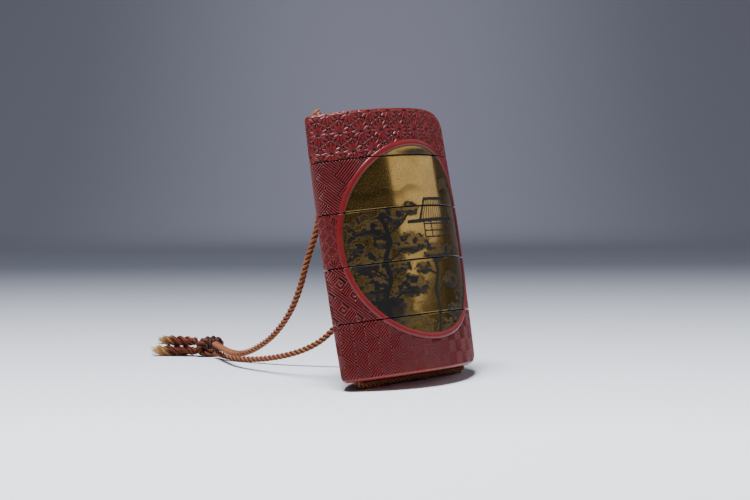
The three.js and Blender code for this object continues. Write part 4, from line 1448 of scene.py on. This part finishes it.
# Each silk gives its light and dark thread colours, its painted groove shade and its handling tint.
FADED_ORANGE = ((168, 98, 54), (112, 58, 30), (32, 13, 7), (112, 58, 32))
DARK_BROWN = ((86, 36, 24), (44, 16, 12), (12, 4, 3), (44, 16, 12))
MID_BROWN = ((132, 68, 34), (84, 40, 20), (26, 10, 6), (72, 34, 18))
FRAYED_BROWN = ((148, 70, 38), (70, 26, 18), (24, 8, 6), (80, 32, 22))
STRAW = (246, 188, 112)

silk_cord = silk("silk_cord", FADED_ORANGE, 0.1)
dark_silk = silk("dark_silk", DARK_BROWN)
brown_silk = silk("brown_silk", MID_BROWN)
frayed_silk = silk("frayed_silk", FRAYED_BROWN, tip=STRAW)
for piece, material in ((cord_through_case, silk_cord), (strands["strand_left"][0], silk_cord),
                        (strands["strand_right"][0], silk_cord), (knot, dark_silk), (knot, brown_silk),
                        (upper_fray, frayed_silk), (lower_fray, frayed_silk)):
    piece.data.materials.append(material)

# %% [markdown]
# ## The table, the backdrop and the light
#
# The case stands on a sweep of pale paper that rises behind it. The paper's colour is painted
# darker with distance behind the case, and darker again towards the backdrop's sides, as shade. A
# soft square lamp hangs almost overhead, a little to the left. A large soft panel at the right
# front makes the broad bright band on the curved gold, and leaves its left dark.

# %% The paper sweep
SWEEP_NEAR, SWEEP_BACK, SWEEP_RISE, SWEEP_RADIUS, SWEEP_SIDE = -1.6, 1.1, 1.6, 0.35, 2.4
SWEEP_STEPS = 12

bm = bmesh.new()
bend_from = SWEEP_BACK - SWEEP_RADIUS
profile = [(SWEEP_NEAR, 0.0), (bend_from, 0.0)]
for step in range(1, SWEEP_STEPS + 1):
    angle = math.pi / 2 * step / SWEEP_STEPS
    rise = SWEEP_RADIUS * (1 - math.cos(angle))
    profile.append((bend_from + SWEEP_RADIUS * math.sin(angle), rise))
profile.append((SWEEP_BACK, SWEEP_RISE))
chain = [bm.verts.new((-SWEEP_SIDE, along, height)) for along, height in profile]
edges = [bm.edges.new(pair) for pair in zip(chain[:-1], chain[1:])]
spread = bmesh.ops.extrude_edge_only(bm, edges=edges)
moved = [item for item in spread["geom"] if isinstance(item, bmesh.types.BMVert)]
bmesh.ops.translate(bm, verts=moved, vec=(2 * SWEEP_SIDE, 0, 0))
facing = math.atan2(-CAMERA_HEADING.x, CAMERA_HEADING.y)
bmesh.ops.rotate(bm, verts=bm.verts, cent=(0, 0, 0), matrix=Matrix.Rotation(facing, 3, "Z"))
sweep = link("paper_sweep", bm)

# %% Pale paper
# Painted shade: the paper darkens with distance behind the case, and the backdrop darkens again towards
# its sides.
PAPER_SHADE_FADE = (-0.1, 0.5)
PAPER_CURVE = 1.6
NEAR_PAPER, FAR_PAPER_SHADE = linear(246, 249, 255), linear(76, 77, 88)
BACKDROP_FROM = (0.6, 0.85)
BACKDROP_SIDES = (0.02, 0.32)
BACKDROP_MIDDLE_SHADE, BACKDROP_EDGE_SHADE = linear(122, 121, 134), linear(92, 92, 103)

paper, tree = new_material("paper")
place = add(tree, "ShaderNodeTexCoord").outputs["Object"]
turned = add(tree, "ShaderNodeMapping", {"Vector": place, "Rotation": (0, 0, -facing)}).outputs[0]
place_on_paper = add(tree, "ShaderNodeSeparateXYZ", {0: turned}).outputs
away, across = place_on_paper["Y"], maths(tree, "ABSOLUTE", place_on_paper["X"])
fade = {"Value": away, "From Min": PAPER_SHADE_FADE[1], "From Max": PAPER_SHADE_FADE[0]}
nearness = maths(tree, "POWER", add(tree, "ShaderNodeMapRange", fade).outputs["Result"], PAPER_CURVE)
shade = mixed(tree, nearness, FAR_PAPER_SHADE, NEAR_PAPER)
backdrop = mixed(tree, ranged(tree, across, *BACKDROP_SIDES), BACKDROP_MIDDLE_SHADE, BACKDROP_EDGE_SHADE)
shade = mixed(tree, ranged(tree, away, *BACKDROP_FROM), shade, backdrop)
finish_shader(tree, {"Base Color": shade, "Roughness": 0.8})
sweep.data.materials.append(paper)


# %% Lamps
DAYLIGHT = (0.92, 0.955, 1.0)
OVERHEAD_PLACE = Vector((-0.16, 0.03, 0.95))
OVERHEAD_SIDE, OVERHEAD_POWER = 0.3, 25.5
PANEL_BEARING = math.radians(51)
PANEL_DISTANCE, PANEL_RAISED = 0.8, 0.46
PANEL_WIDTH, PANEL_TALL, PANEL_POWER = 1.0, 0.62, 1.7
PANEL_TARGET = (0, 0, 0.05)
ROOM_COLOUR, ROOM_STRENGTH = linear(110, 112, 118), 0.3


def soft_lamp(name, place, target, width, height, power):
    """A rectangular lamp that faces its target."""
    data = bpy.data.lights.new(name, "AREA")
    data.shape = "RECTANGLE"
    data.size, data.size_y, data.energy = width, height, power
    data.color = DAYLIGHT
    lamp = bpy.data.objects.new(name, data)
    lamp.location = place
    lamp.rotation_euler = (Vector(target) - Vector(place)).to_track_quat("-Z", "Y").to_euler()
    bpy.context.scene.collection.objects.link(lamp)


soft_lamp("overhead", OVERHEAD_PLACE, (0, 0, 0), OVERHEAD_SIDE, OVERHEAD_SIDE, OVERHEAD_POWER)
panel_way = Vector((math.sin(PANEL_BEARING), -math.cos(PANEL_BEARING), 0))
panel_place = panel_way * PANEL_DISTANCE + Vector((0, 0, PANEL_RAISED))
soft_lamp("front_panel", panel_place, PANEL_TARGET, PANEL_WIDTH, PANEL_TALL, PANEL_POWER)
world = bpy.data.worlds.new("room")
bpy.context.scene.world = world
world.use_nodes = True
world.node_tree.nodes["Background"].inputs["Color"].default_value = ROOM_COLOUR
world.node_tree.nodes["Background"].inputs["Strength"].default_value = ROOM_STRENGTH
print("two lamps and a dim room light the case")
